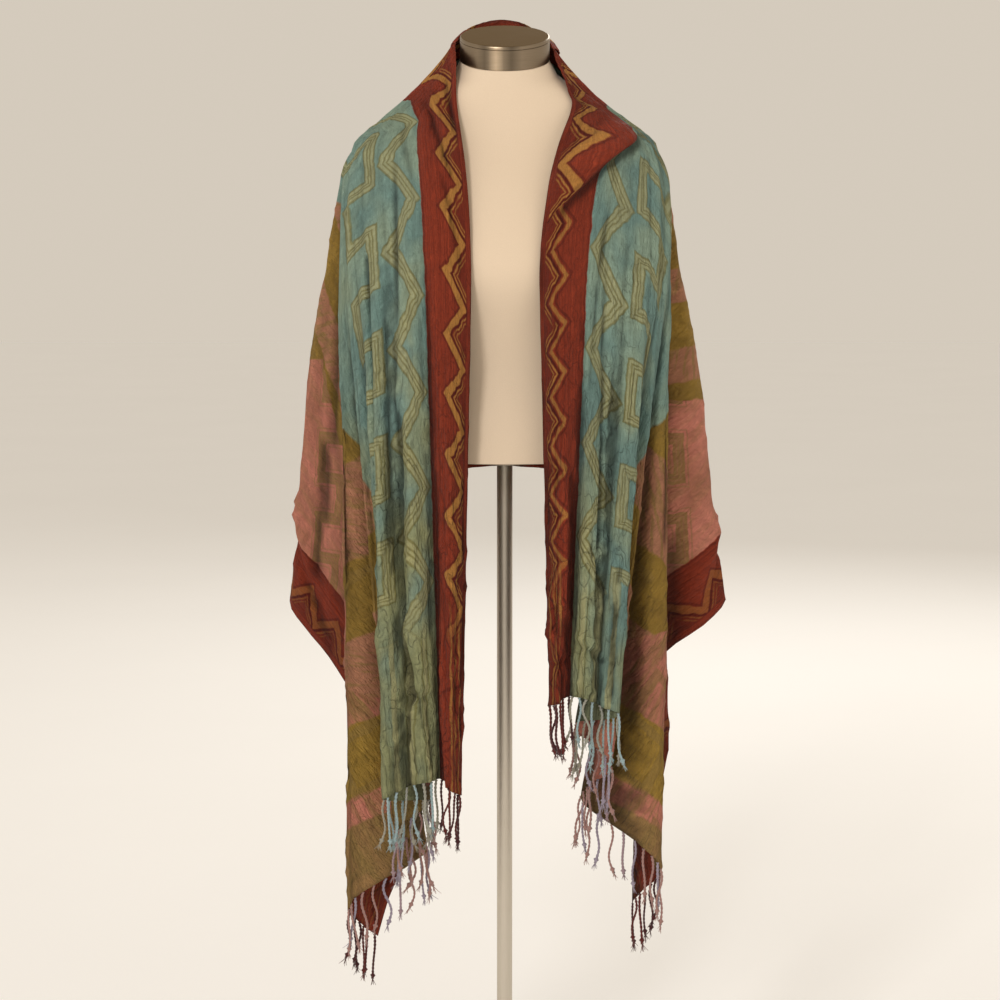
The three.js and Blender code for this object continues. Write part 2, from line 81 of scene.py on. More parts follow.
# The collar's top, from the left front round the back to the right front.
COLLAR_LINE = [
    (-60, -42, 1440),
    (-61, -18, 1458),
    (-61, 8, 1470),
    (-50, 38, 1485),
    (-28, 59, 1498),
    (0, 66, 1502),
    (28, 59, 1495),
    (50, 38, 1478),
    (60, 10, 1462),
    (64, -16, 1446),
    (75, -40, 1420),
]
COLLAR_REACH = 140  # along the cloth, from the centre back to either end of COLLAR_LINE

# The guides from the front edge to the back, as in the solid: where one crosses the collar's top, how much
# cloth is turned out there, where it starts to hang on the flat cloth (s along it from the centre back, t
# across it from the neck edge) and its angle, that point in space, and its places in plan MID_DROP below
# it and at the cloth's lower end.
GUIDE_COLUMNS = ("name", "neck", "fold", "s", "t", "turn", "top", "mid", "hem")
LEFT_GUIDES = [
    ("edge", 140, 0, 200, 0, 0, (-60, -58, 1388), (-41, -134), (-52, -138)),
    ("border_crest", 134, 0, 212, 40, 0, (-84, -52, 1381), (-66, -141), (-64, -160)),
    ("seam", 128, 0, 232, 80, 0, (-112, -44, 1372), (-96, -136), (-80, -140)),
    ("front_crest", 121, 0, 240, 115, 0, (-138, -36, 1363), (-120, -128), (-99, -159)),
    ("front_valley", 116, 0, 243, 140, 0, (-158, -28, 1355), (-145, -112), (-118, -144)),
    ("pleat_crest", 110, 0, 238, 165, 1, (-175, -22, 1347), (-171, -103), (-149, -158)),
    ("pleat_valley", 106, 0, 230, 170, 8, (-186, -16, 1342), (-177, -86), (-92, -87)),
    ("under_crest", 103, 0, 222, 170, 14, (-192, -12, 1340), (-189, -78), (-140, -107)),
    ("under_valley", 100, 0, 214, 170, 20, (-196, -8, 1339), (-193, -62), (-98, -52)),
    ("side_crest", 97, 0, 208, 170, 27, (-199, -4, 1338), (-206, -55), (-196, -106)),
    ("corner", 94, 0, 206, 170, 31.8, (-201, 1, 1337), (-190, -34), (-162, -58)),
    ("rear_valley", 91, 0, 206, 170, 39, (-202, 7, 1336), (-176, -4), (-112, -22)),
    ("flare_front", 88, 0, 204, 170, 51, (-202, 13, 1335), (-206, 30), (-208, 16)),
    ("flare_crest", 84, 0, 200, 170, 64, (-200, 20, 1335), (-240, 48), (-278, 58)),
    ("flare_back", 78, 5, 192, 170, 75, (-195, 30, 1336), (-214, 88), (-228, 112)),
    ("back_valley", 68, 12, 176, 175, 84, (-184, 46, 1338), (-180, 88), (-180, 84)),
    ("back_crest", 54, 28, 144, 208, 90, (-152, 72, 1340), (-148, 128), (-150, 150)),
    ("back_soft", 36, 52, 96, 252, 90, (-102, 90, 1338), (-98, 114), (-100, 112)),
    ("spine_crest", 18, 72, 48, 280, 90, (-51, 98, 1336), (-50, 126), (-50, 140)),
]
CENTRE_GUIDE = ("centre", 0, 80, 0, 290, 90, (0, 101, 1335), (0, 117), (0, 122))
RIGHT_GUIDES = [
    ("edge", 140, 0, 257, 0, 0, (86, -50, 1388), (42, -134), (54, -138)),
    ("border_crest", 134, 0, 265, 40, 0, (108, -45, 1382), (66, -141), (66, -158)),
    ("seam", 128, 0, 281, 80, 0, (131, -39, 1374), (98, -136), (80, -140)),
    ("front_crest", 121, 0, 289, 115, 0, (151, -32, 1365), (122, -128), (98, -154)),
    ("front_valley", 116, 0, 293, 140, 0, (166, -26, 1356), (146, -112), (114, -142)),
    ("pleat_crest", 110, 0, 291, 165, 1, (178, -21, 1348), (171, -103), (141, -154)),
    ("pleat_valley", 106, 0, 275, 170, 8, (187, -16, 1342), (177, -86), (86, -86)),
    ("under_crest", 103, 0, 252, 170, 14, (192, -12, 1340), (189, -78), (134, -106)),
    ("under_valley", 100, 0, 228, 170, 20.5, (196, -8, 1339), (193, -62), (96, -54)),
    ("side_crest", 97, 0, 210, 170, 28, (199, -4, 1338), (206, -56), (196, -106)),
    ("corner", 94, 0, 206, 170, 33.4, (201, 1, 1337), (192, -36), (162, -66)),
    ("rear_valley", 91, 0, 206, 170, 43, (202, 7, 1336), (198, -8), (206, -28)),
    ("flare_front", 88, 0, 204, 170, 52, (202, 13, 1335), (192, 26), (190, 14)),
    ("flare_crest", 84, 0, 200, 170, 64, (200, 20, 1335), (238, 48), (288, 60)),
    ("flare_back", 78, 5, 192, 170, 75, (195, 30, 1336), (214, 88), (230, 114)),
    ("back_valley", 68, 12, 176, 175, 84, (184, 46, 1338), (180, 88), (182, 86)),
    ("back_crest", 54, 28, 144, 208, 90, (152, 72, 1340), (148, 128), (150, 152)),
    ("back_soft", 36, 52, 96, 252, 90, (102, 90, 1338), (98, 114), (98, 110)),
    ("spine_crest", 18, 72, 48, 280, 90, (51, 98, 1336), (50, 126), (52, 138)),
]

# ---- How finely the visible cloth is divided ----
COLUMNS_PER_GUIDE = 8
FLAP_ROWS = 12  # in the collar's turned-out flap
YOKE_ROWS = 18  # from the collar's top to the shoulder
HANGING_ROWS = 118
THICKNESS = 0.9
FLAP_STANDOFF = 8.0  # from the yoke to the flap
FLAP_ROLL = 16.0  # how much cloth the fold at the collar's top takes up
FULL_FLAP = 30.0  # a flap with less cloth than this stands off less
CLEARING_ROUNDS = 8  # how often the cloth is moved out until it clears the form
LONGEST_MOVE = 20.0  # in each of those rounds
SKIN_GAP = 1.8  # the least from the form to the middle of the cloth, creases included
SHOULDER_ROUNDS = 40  # how often the cloth is smoothed where it turns from the yoke to hanging
SHOULDER_REACH = 4.0  # about how many rows on either side of that turn are smoothed
HOLLOW_DEPTH = 4.5  # a fold this deep holds the least light
COLLAR_EASE = 0.28  # the share of the collar's fold that is taken up in fine creases

# ---- The dress form's shape ----


def cubic(start, leaving, end, arriving, h):
    """The cubic from start to end with these slopes, where h runs from 0 to 1."""
    return (start * (1 + 2 * h) * (1 - h) ** 2 + leaving * h * (1 - h) ** 2
            + end * h * h * (3 - 2 * h) + arriving * h * h * (h - 1))


def form_size(column, z):
    """A column of FORM_SECTIONS at the heights z, along a cubic through its neighbours."""
    rows = FORM_SECTIONS
    last = len(rows) - 2
    i = np.clip(np.searchsorted(rows[:, 0], z) - 1, 0, last)
    a, b = rows[i], rows[i + 1]
    before, after = rows[np.maximum(i - 1, 0)], rows[np.minimum(i + 2, last + 1)]
    span = b[:, 0] - a[:, 0]
    h = np.clip((z - a[:, 0]) / span, 0, 1)
    leaving = (b[:, column] - before[:, column]) / (b[:, 0] - before[:, 0]) * span
    arriving = (after[:, column] - a[:, column]) / (after[:, 0] - a[:, 0]) * span
    return cubic(a[:, column], leaving, b[:, column], arriving, h)


def form_share(points):
    """How far out points lie from the form's axis, as a share of the form's own surface there."""
    z = np.clip(points[:, 2], FORM_BOTTOM, NECK_TOP)
    taper = np.clip(1 - (FORM_BOTTOM - points[:, 2]) / UNDER_FORM, 0.01, 1)
    x = np.abs(points[:, 0]) / (taper * form_size(1, z))
    y = np.abs(points[:, 1] - form_size(3, z)) / (taper * form_size(2, z))
    return (x ** SQUARENESS + y ** SQUARENESS) ** (1 / SQUARENESS)


def clear_of_form(points, clearance):
    """The points, each moved out along the form's slope until it clears the form."""
    points = points.copy()
    step = 0.5
    for _ in range(CLEARING_ROUNDS):
        share = form_share(points)
        slope = np.stack([(form_share(points + step * axis) - share) / step for axis in np.eye(3)], axis=1)
        steepness = np.maximum(np.linalg.norm(slope, axis=1), 1e-4)
        missing = clearance - (share - 1) / steepness
        move = np.where(missing > 0.01, np.minimum(missing, LONGEST_MOVE), 0)
        points += slope * (move / steepness)[:, None]
    return points


# ---- The cloth's shape ----
DOWN = np.array([0, 0, -1.0])
YOKE_SHARES = np.arange(YOKE_ROWS)[:, None] / YOKE_ROWS


def guide_of(row, side, sign):
    guide = dict(zip(GUIDE_COLUMNS, row))
    guide["name"] = side + guide["name"]
    guide["neck"] = sign * guide["neck"]
    return guide


GUIDES = [guide_of(row, "left_", -1) for row in LEFT_GUIDES]
GUIDES.append(guide_of(CENTRE_GUIDE, "", 1))
GUIDES.extend(guide_of(row, "right_", 1) for row in reversed(RIGHT_GUIDES))
LAST_GUIDE = len(GUIDES) - 1
CENTRE = len(LEFT_GUIDES)


def guide_index(name):
    return next(i for i, guide in enumerate(GUIDES) if guide["name"] == name)


def curve_point(points, place):
    """A point of the centripetal Catmull-Rom curve through points, where place counts its intervals."""
    points = np.asarray(points, float)
    i = min(int(place), len(points) - 2)
    h = place - i
    b, c = points[i], points[i + 1]
    a = points[i - 1] if i > 0 else 2 * b - c
    d = points[i + 2] if i < len(points) - 2 else 2 * c - b
    ab, bc, cd = (max(math.sqrt(np.linalg.norm(q - p)), 1e-3) for p, q in ((a, b), (b, c), (c, d)))
    leaving = ((b - a) / ab - (c - a) / (ab + bc) + (c - b) / bc) * bc
    arriving = ((c - b) / bc - (d - b) / (bc + cd) + (d - c) / cd) * bc
    return cubic(b, leaving, c, arriving, h)


def guide_point(key, u):
    return curve_point([guide[key] for guide in GUIDES], u)


def guide_size(key, u):
    i = min(int(u), LAST_GUIDE - 1)
    return GUIDES[i][key] + (GUIDES[i + 1][key] - GUIDES[i][key]) * (u - i)


def collar_top(u):
    share = (guide_size("neck", u) + COLLAR_REACH) / (2 * COLLAR_REACH)
    return curve_point(COLLAR_LINE, share * (len(COLLAR_LINE) - 1))


def yoke_points(u):
    """The guide at u from the collar's top to the shoulder. The flatter it lies, the more it sags."""
    neck, top = collar_top(u), guide_point("top", u)
    flatness = np.linalg.norm((top - neck)[:2]) / np.linalg.norm(top - neck)
    sag = YOKE_SAG * flatness ** 2 * np.sin(np.pi * YOKE_SHARES) * (1 - YOKE_SHARES)
    return neck + (top - neck) * YOKE_SHARES + sag * DOWN


def length_to_end(u):
    """How much cloth hangs on the guide at u, down to the cloth's lower edge."""
    turn = math.radians(guide_size("turn", u))
    length = LEFT_LENGTH if u <= CENTRE else RIGHT_LENGTH
    along = (length - guide_size("s", u)) / max(math.cos(turn), 1e-6)
    across = (WIDTH - guide_size("t", u)) / max(math.sin(turn), 1e-6)
    return min(along, across)


def hanging_points(u, lengths):
    """The points of the hanging cloth at these lengths down the guide at u."""
    top, mid, hem = guide_point("top", u), guide_point("mid", u), guide_point("hem", u)
    slope = (hem - mid) / (length_to_end(u) - MID_DROP)
    drift = mid - top[:2]
    bend = slope * MID_DROP
    h = np.minimum(lengths / MID_DROP, 1)[:, None]
    rest = np.maximum(lengths - MID_DROP, 0)[:, None]
    near = (2 * drift - bend) * h + (bend - drift) * h * h
    far = slope * rest
    drop = np.sqrt(np.maximum((h[:, 0] * MID_DROP) ** 2 - (near ** 2).sum(1), 0))
    drop += np.sqrt(np.maximum(rest[:, 0] ** 2 - (far ** 2).sum(1), 0))
    return np.column_stack([top[:2] + near + far, top[2] - drop])


def unit(vectors):
    return vectors / np.maximum(np.linalg.norm(vectors, axis=-1, keepdims=True), 1e-9)


def grid_normals(grid):
    """The cloth's outward normals at the points of a grid of columns and rows."""
    across = unit(np.diff(grid, axis=0))
    down = unit(np.diff(grid, axis=1))
    across = np.concatenate([across[:1], across[:-1] + across[1:], across[-1:]], axis=0)
    down = np.concatenate([down[:, :1], down[:, :-1] + down[:, 1:], down[:, -1:]], axis=1)
    return unit(np.cross(across, down))


def smooth(x):
    x = np.clip(x, 0, 1)
    return x * x * (3 - 2 * x)


def column_guides():
    """Where each column of the cloth lies among the guides."""
    return [c / COLUMNS_PER_GUIDE for c in range(LAST_GUIDE * COLUMNS_PER_GUIDE + 1)]


def hanging_shares(rows):
    """How far down the hanging cloth each row lies, from 0 to 1."""
    return np.clip((np.arange(rows) - YOKE_ROWS) / HANGING_ROWS, 0, 1)


def interpolated(x, places, points):
    """The points at x, where places says where the given points lie."""
    return np.stack([np.interp(x, places, column) for column in points.T], axis=-1)


def rounded_shoulders(points):
    """The cloth's columns, eased where they turn from the yoke to hanging."""
    rows = np.arange(points.shape[1])
    ease = 0.5 * np.exp(-(((rows - YOKE_ROWS) / SHOULDER_REACH) ** 2))[None, 1:-1, None]
    for _ in range(SHOULDER_ROUNDS):
        middle = (points[:, :-2] + points[:, 2:]) / 2
        points[:, 1:-1] += (middle - points[:, 1:-1]) * ease
    return points


def body_grid():
    """The cloth from the collar's top down: its points, and their places (s, t) on the flat cloth."""
    points, flat = [], []
    for u in column_guides():
        sign = -1 if u < CENTRE else 1
        turn = math.radians(guide_size("turn", u))
        lengths = length_to_end(u) * np.arange(HANGING_ROWS + 1) / HANGING_ROWS
        points.append(np.vstack([yoke_points(u), hanging_points(u, lengths)]))
        neck = np.array([guide_size("neck", u), guide_size("fold", u)])
        start = np.array([sign * guide_size("s", u), guide_size("t", u)])
        heading = np.array([sign * math.cos(turn), math.sin(turn)])
        flat.append(np.vstack([neck + (start - neck) * YOKE_SHARES, start + lengths[:, None] * heading]))
    points, flat = rounded_shoulders(np.array(points)), np.array(flat)
    return clear_of_form(points.reshape(-1, 3), CLEARANCE).reshape(points.shape), flat


def flap_grid(body, flat):
    """The collar's turned-out flap, from its free edge up to the fold, standing off the yoke below it."""
    normals = grid_normals(body)
    points, places = [], []
    for c, u in enumerate(column_guides()):
        fold = guide_size("fold", u)
        yoke = body[c, :YOKE_ROWS + 1]
        paths = np.concatenate([[0], np.cumsum(np.linalg.norm(np.diff(yoke, axis=0), axis=1))])
        reach = fold * np.arange(FLAP_ROWS, 0, -1) / FLAP_ROWS
        facing = interpolated(reach, paths, normals[c, :YOKE_ROWS + 1])
        standoff = FLAP_STANDOFF * np.sqrt(np.clip(reach / FLAP_ROLL, 0, 1)) * min(fold / FULL_FLAP, 1)
        points.append(interpolated(reach, paths, yoke) + facing * standoff[:, None])
        places.append(np.column_stack([np.full(FLAP_ROWS, flat[c, 0, 0]), fold - reach]))
    return np.array(points), np.array(places)


# ---- Creases ----


def segment_distance(places, start, end):
    """The distance of each place from a line on the flat cloth, and how far along the line it lies."""
    start, end = np.asarray(start, float), np.asarray(end, float)
    way = end - start
    share = np.clip(((places - start) @ way) / (way @ way), 0, 1)
    return np.linalg.norm(places - start - share[..., None] * way, axis=-1), share


# Creases, given one by one: start and end on the flat cloth (s, t), the half width and the height of the
# ridge, with a trough below nought.
CREASES = [
    # the long fold between the left front's two pleats, and the creases beside it
    ((-400, 164), (-840, 176), 6, -12),
    ((-450, 142), (-800, 150), 6, -6),
    ((-300, 120), (-560, 132), 5, -4),
    ((-350, 104), (-620, 100), 7, 3),
    ((-560, 152), (-900, 168), 9, 5),
    ((-600, 128), (-800, 136), 5, -5),
    ((-640, 116), (-900, 122), 8, 4),
    ((-757, 152), (-759, 130), 4, -4),
    ((-830, 142), (-960, 96), 8, 5),
    ((-850, 150), (-1000, 112), 5, -5),
    ((-948, 160), (-958, 92), 5, -4),
    ((-935, 158), (-942, 92), 6, 3),
    ((-880, 108), (-1040, 98), 6, -4),
    ((-960, 134), (-1050, 142), 7, 4),
    # the left neck border
    ((-150, 24), (-236, 12), 5, -5),
    ((-158, 58), (-256, 20), 5, 4),
    ((-186, 66), (-310, 28), 5, -4),
    ((-300, 48), (-420, 20), 6, -3),
    ((-640, 40), (-860, 46), 7, 3),
    ((-860, 30), (-1040, 34), 5, -4),
    ((-900, 60), (-1050, 58), 6, 3),
    # the right front
    ((470, 112), (845, 126), 6, -6),
    ((560, 150), (885, 146), 8, 5),
    ((610, 132), (800, 138), 5, -4),
    ((820, 106), (895, 156), 5, -5),
    ((745, 100), (945, 104), 8, 5),
    ((875, 150), (995, 158), 6, -5),
    ((945, 86), (957, 160), 5, -5),
    ((933, 88), (945, 156), 6, 4),
    ((865, 30), (995, 44), 6, -4),
    ((957, 4), (969, 78), 6, -5),
    ((685, 52), (905, 48), 7, 4),
    ((430, 104), (640, 92), 6, -4),
    ((990, 96), (1004, 150), 5, 3),
    # tension lines that run down from the shoulders
    ((-200, 150), (-420, 210), 10, 3),
    ((-170, 120), (-330, 92), 9, -2.5),
    ((205, 160), (430, 228), 10, 3),
    # the side folds
    ((-420, 300), (-760, 420), 9, -5),
    ((-520, 400), (-900, 560), 8, -4),
    ((-640, 360), (-940, 500), 10, 5),
    ((430, 290), (760, 430), 9, -5),
    ((520, 380), (860, 560), 8, -4),
    ((600, 350), (880, 490), 10, 5),
    # the flares
    ((-270, 330), (-400, 600), 10, 5),
    ((-300, 300), (-470, 560), 7, -4),
    ((-330, 560), (-500, 640), 7, 5),
    ((-350, 600), (-540, 672), 6, -5),
    ((270, 330), (390, 590), 10, 5),
    ((300, 300), (460, 540), 7, -4),
    ((330, 570), (480, 650), 7, 5),
    ((340, 610), (500, 680), 6, -5),
    # the back
    ((-60, 320), (-70, 660), 14, 5),
    ((40, 330), (30, 640), 10, -5),
    ((110, 300), (120, 670), 13, 5),
    ((-120, 300), (-130, 640), 9, -5),
    ((-20, 500), (90, 560), 9, -3),
    ((-110, 540), (10, 590), 9, 3),
]

CREASE_SCALE = 1.5
CRUMPLE_SCALE = 1.5

# The fold of the right lapel, which laps over the cloth below it: its two ends on the flat cloth, how far
# the lapel stands out there and hangs over, how far that reaches up and down from the fold, how much of
# the cloth's width is tucked under it, how far up that shows, and the width over which it is tucked.
LAPEL_FOLD = {"outer": (290, 141), "inner": (410, 24), "lap": 13, "overhang": 10, "reach_up": 62,
              "drop": 8, "tucked": 54, "tuck_reach": 150, "tuck_width": 141}
LAPEL_DOWNHILL = (0.65, -0.1, -0.75)
LAPEL_ROUNDS = 4  # how often the fold is evened out along its line


def crease_heights(flat):
    """How far the creases raise each place. They fade out towards both ends."""
    heights = np.zeros(flat.shape[:2])
    for start, end, half_width, height in CREASES:
        distance, share = segment_distance(flat, start, end)
        fade = np.sin(np.pi * np.clip(share * 0.9 + 0.05, 0, 1)) ** 0.6
        heights += CREASE_SCALE * height * fade * np.exp(-((distance / half_width) ** 1.4))
    return heights


def wave(x, seed):
    """A smooth uneven curve through x, between about -1 and 1, from four sines."""
    draw = random.Random(seed)
    total = np.zeros_like(x)
    for octave in range(4):
        pitch = 1.7 ** octave * (0.8 + 0.4 * draw.random())
        total += np.sin(x * pitch + draw.uniform(0, 2 * math.pi)) / (1.4 + octave)
    return total / 1.6


def drape_waves(flat):
    """Soft folds that run the way the cloth hangs, grow towards the lower edge and wander a little."""
    u = np.array(column_guides())[:, None]
    down = hanging_shares(flat.shape[1])
    wander = 0.35 * wave(down * 5 + 0.4 * u, 11)
    folds = wave(4.1 * (u + wander), 3)
    fine = wave(9.5 * (u + 0.5 * wander), 5)
    return folds * (0.9 + 4.2 * smooth(down)) + fine * (0.5 + 1.6 * smooth(down))


def crumple(flat):
    """Small creases in all directions, as a soft cloth keeps from being folded away."""
    s, t = flat[..., 0], flat[..., 1]
    total = np.zeros_like(s)
    draw = random.Random(29)
    for _ in range(9):
        angle = draw.uniform(-0.9, 0.9)
        pitch = draw.uniform(0.045, 0.11)
        x = (s * math.sin(angle) + t * math.cos(angle)) * pitch
        y = (s * math.cos(angle) - t * math.sin(angle)) * pitch
        ridge = 1 - np.abs(np.sin(x + 1.2 * np.sin(0.45 * y + draw.uniform(0, 6)) + draw.uniform(0, 6)))
        gate = smooth(np.sin(0.31 * x + draw.uniform(0, 6)) * np.sin(0.4 * y + draw.uniform(0, 6)) * 1.6)
        total += ridge ** 3 * gate
    return total * (0.5 + 0.9 * smooth((np.abs(s) - 350) / 450))


def lapel_places(flat):
    """How far places lie above the lapel's fold line, towards the neck, and their share of its length."""
    outer, inner = (np.array(LAPEL_FOLD[key], float) for key in ("outer", "inner"))
    length = np.linalg.norm(inner - outer)
    way = (inner - outer) / length
    offset = flat - outer
    return offset @ np.array([way[1], -way[0]]), (offset @ way) / length


def even_along_fold(field):
    """Evens a field out along the lapel's fold line, which crosses three columns for every two rows."""
    for _ in range(LAPEL_ROUNDS):
        near = [np.roll(field, (way * columns, way), axis=(0, 1)) for columns in (1, 2) for way in (1, -1)]
        field = (field + sum(near)) / 5
    return field


def lapel_fade(flat, along, outer, inner):
    """1 along the lapel's fold, and 0 past its ends and on the left half of the cloth. outer and inner say
    for each end how long the fade is, as a share of the fold, and how much of it lies past the end."""
    fade = smooth(along / outer[0] + outer[1]) * smooth((1 - along) / inner[0] + inner[1])
    return fade * (flat[..., 0] > 0)


def across_fold(above, share_above):
    """share_above on the upper side of the fold line, and a share that soon fades on its lower side."""
    return np.where(above > 0, share_above, smooth(1 + above / LAPEL_FOLD["drop"]))


def lapel_shift(flat, normals):
    """The right lapel rolls out above its fold line, and hangs a little way over the cloth below it."""
    above, along = lapel_places(flat)
    fade = lapel_fade(flat, along, (0.3, 0.5), (0.25, 0.35))
    up = smooth(1 - above / LAPEL_FOLD["reach_up"])
    edge = across_fold(above, up) * fade
    overhang = across_fold(above, up ** 2) * fade
    shift = (normals * (LAPEL_FOLD["lap"] * edge)[..., None]
             + np.array(LAPEL_DOWNHILL) * (LAPEL_FOLD["overhang"] * overhang)[..., None])
    return even_along_fold(shift) * (flat[..., 0] > 0)[..., None]


def lapel_tuck(flat):
    """How much of the cloth's width the fold has taken in, where the lapel shows above it."""
    above, along = lapel_places(flat)
    fade = lapel_fade(flat, along, (0.5, 1.1), (0.6, 0.0))
    taken = across_fold(above, smooth(1 - above / LAPEL_FOLD["tuck_reach"]))
    return LAPEL_FOLD["tucked"] * taken * fade * np.clip(flat[..., 1] / LAPEL_FOLD["tuck_width"], 0, 1)


def gathered(body, flat):
    """How much of the cloth's width is gathered unseen before each place, in the pleats at the sides.

    The pleats beside each front are too fine to be modelled near the shoulder, so their cloth is taken up
    there and let out again behind the side's crest, where it doesn't show."""
    taken = np.zeros(flat.shape[:2])
    for side, step in (("left", 1), ("right", -1)):
        start, crest, end = (guide_index(side + name) * COLUMNS_PER_GUIDE
                             for name in ("_pleat_crest", "_side_crest", "_flare_front"))
        pleats = np.arange(start, crest + step, step)
        room = np.linalg.norm(np.diff(body[pleats], axis=0), axis=2)
        cut = np.linalg.norm(np.diff(flat[pleats], axis=0), axis=2)
        short = np.diff(flat[pleats][..., 1], axis=0) * (1 - np.minimum(room / np.maximum(cut, 1e-6), 1))
        taken[pleats[1:]] = np.cumsum(short, axis=0) * smooth(1.6 - 1.9 * hanging_shares(flat.shape[1]))
        behind = np.arange(crest + step, end, step)
        share = 1 - np.arange(1, len(behind) + 1) / (len(behind) + 1)
        taken[behind] = taken[crest] * share[:, None]
    return taken


def lapel_shade(flat):
    """How little light reaches the cloth right below the lapel's fold, from 0 to 1."""
    above, along = lapel_places(flat)
    fade = lapel_fade(flat, along, (0.2, 0.5), (0.2, 0.4))
    return fade * np.exp(-(((above + LAPEL_FOLD["drop"] + 4) / 8) ** 2))


def collar_ease(body_rows):
    """How much less of the cloth's width shows at the back of the neck than the collar's fold takes, row by
    row from the fold down the yoke."""
    folds = np.array([guide_size("fold", u) for u in column_guides()])[:, None]
    v = np.clip(np.arange(body_rows) / YOKE_ROWS, 0, 1)[None, :]
    return COLLAR_EASE * folds * (1 - smooth(v))


def hollows(body):
    """How deep in a fold each place lies, from 0 to 1, as neighbours at two distances show it. The cloth's
    colour is darkened by it, as painted shade.
    """
    normals = grid_normals(body)
    depth = np.zeros(body.shape[:2])
    for reach in (2, 5):
        padded = np.pad(body, ((reach, reach), (0, 0), (0, 0)), mode="edge")
        chord = (padded[:-2 * reach] + padded[2 * reach:]) / 2 - body
        depth += (chord * normals).sum(axis=2) * 2 / reach
    return np.clip(depth / HOLLOW_DEPTH, 0, 1)


def cloth_points():
    """Every point of the finished cloth, from the flap's free edge to the lower edge, its place on the flat
    cloth, the place in the woven pattern that shows there, and the shade painted on it, from how deep in a
    fold it lies and how near it lies below the right lapel's fold."""
    body, flat = body_grid()
    normals = grid_normals(body)
    heights = crease_heights(flat) + drape_waves(flat) + CRUMPLE_SCALE * crumple(flat)
    pattern = flat.copy()
    pattern[..., 1] -= gathered(body, flat) + lapel_tuck(flat) + collar_ease(flat.shape[1])
    body = body + normals * heights[..., None] + lapel_shift(flat, normals)
    body = clear_of_form(body.reshape(-1, 3), SKIN_GAP).reshape(body.shape)
    flap, flap_flat = flap_grid(body, flat)
    shade = np.clip(hollows(body) + lapel_shade(flat), 0, 1)
    depth = np.concatenate([np.zeros(flap.shape[:2]), shade], axis=1)
    flap_pattern = flap_flat * np.array([1, 1 - COLLAR_EASE])
    return (np.concatenate([flap, body], axis=1), np.concatenate([flap_flat, flat], axis=1),
            np.concatenate([flap_pattern, pattern], axis=1), depth)


# ---- Meshes ----


def placed(name, data):
    """A new object in the scene."""
    thing = bpy.data.objects.new(name, data)
    bpy.context.scene.collection.objects.link(thing)
    return thing


def add_mesh(name, vertices, faces, flat):
    """A smooth mesh, with its places on the flat cloth, in metres, as the map "flat"."""
    mesh = bpy.data.meshes.new(name)
    mesh.from_pydata((np.asarray(vertices) * MM).tolist(), [], faces)
    mesh.update()
    corners = np.empty(len(mesh.loops), int)
    mesh.loops.foreach_get("vertex_index", corners)
    uv = mesh.uv_layers.new(name="flat")
    uv.data.foreach_set("uv", (np.asarray(flat) * MM)[corners].ravel())
    mesh.polygons.foreach_set("use_smooth", [True] * len(mesh.polygons))
    return placed(name, mesh)


def cloth_faces(shape):
    """The quads of the cloth's grid. Where nothing is turned out, the flap's rows are one point."""
    columns, rows = shape
    ids = np.arange(columns * rows).reshape(columns, rows)
    for c, u in enumerate(column_guides()):
        if guide_size("fold", u) <= 0:
            ids[c, :FLAP_ROWS] = ids[c, FLAP_ROWS]
    faces = []
    for c in range(columns - 1):
        for r in range(rows - 1):
            corners = (ids[c, r], ids[c + 1, r], ids[c + 1, r + 1], ids[c, r + 1])
            face = [int(corner) for corner in dict.fromkeys(corners)]
            if len(face) > 2:
                faces.append(face)
    return faces


def build_cloth(points, pattern, depth):
    """The cloth's mesh. The rows that are one point leave vertices that no face uses, which are dropped."""
    faces = cloth_faces(points.shape[:2])
    used = sorted({corner for face in faces for corner in face})
    place = {old: new for new, old in enumerate(used)}
    faces = [[place[corner] for corner in face] for face in faces]
    cloth = add_mesh("scarf_cloth", points.reshape(-1, 3)[used], faces, pattern.reshape(-1, 2)[used])
    # The painted shade for each point, which the material darkens the colour by: in the folds and just below
    # the right lapel's fold.
    painted_fold_shade = cloth.data.attributes.new("painted_fold_shade", "FLOAT", "POINT")
    painted_fold_shade.data.foreach_set("value", depth.ravel()[used].astype(np.float32))
    solidify = cloth.modifiers.new("thickness", "SOLIDIFY")
    solidify.thickness = THICKNESS * MM
    solidify.offset = 0
    return cloth


# ---- The fringe ----
CORD_SPACING = 13.5
CORD_RADIUS = 1.55
CORD_SIDES = 8
CORD_RINGS = 26
CORD_TWISTS = 6  # turns of its two strands over its length
CORD_LOBES = 0.28  # how much the strands stand out
CORD_SWAY = (4.5, 3.0)  # how far its end usually strays in x and in y
CORD_CURL = (1.8, 1.3)  # how wide its curl usually is
CORD_SHARES = (0.74, 0.90)  # of the fringe's reach, from the shortest cord to the longest
KNOT = {"at": 0.93, "length": 0.045, "radius": 3.1}
TUFT = {"strands": 7, "length": 11.0, "shares": (0.55, 1.1), "radius": 0.42, "spread": (2.6, 2.6),
        "rings": 5, "sides": 4}


def tube(path, radii, sides, twist, lobes=0.0):
    """A closed tube round a path: vertices and faces. lobes makes two strands show, which turn twist times
    over its length."""
    ahead = unit(np.gradient(path, axis=0))
    side = unit(np.cross(ahead, [0.0, 1.0, 0.2]))
    other = np.cross(ahead, side)
    angles = 2 * math.pi * np.arange(sides) / sides
    vertices = []
    for k, centre in enumerate(path):
        turned = angles + 2 * math.pi * twist * k / (len(path) - 1)
        radius = radii[k] * (1 + lobes * np.cos(2 * angles))
        ring = np.cos(turned)[:, None] * side[k] + np.sin(turned)[:, None] * other[k]
        vertices.append(centre + ring * radius[:, None])
    faces = []
    for k in range(len(path) - 1):
        for j in range(sides):
            a, b = k * sides + j, k * sides + (j + 1) % sides
            faces.append([a, b, b + sides, a + sides])
    faces.append(list(range(sides))[::-1])
    faces.append([(len(path) - 1) * sides + j for j in range(sides)])
    return np.vstack(vertices), faces


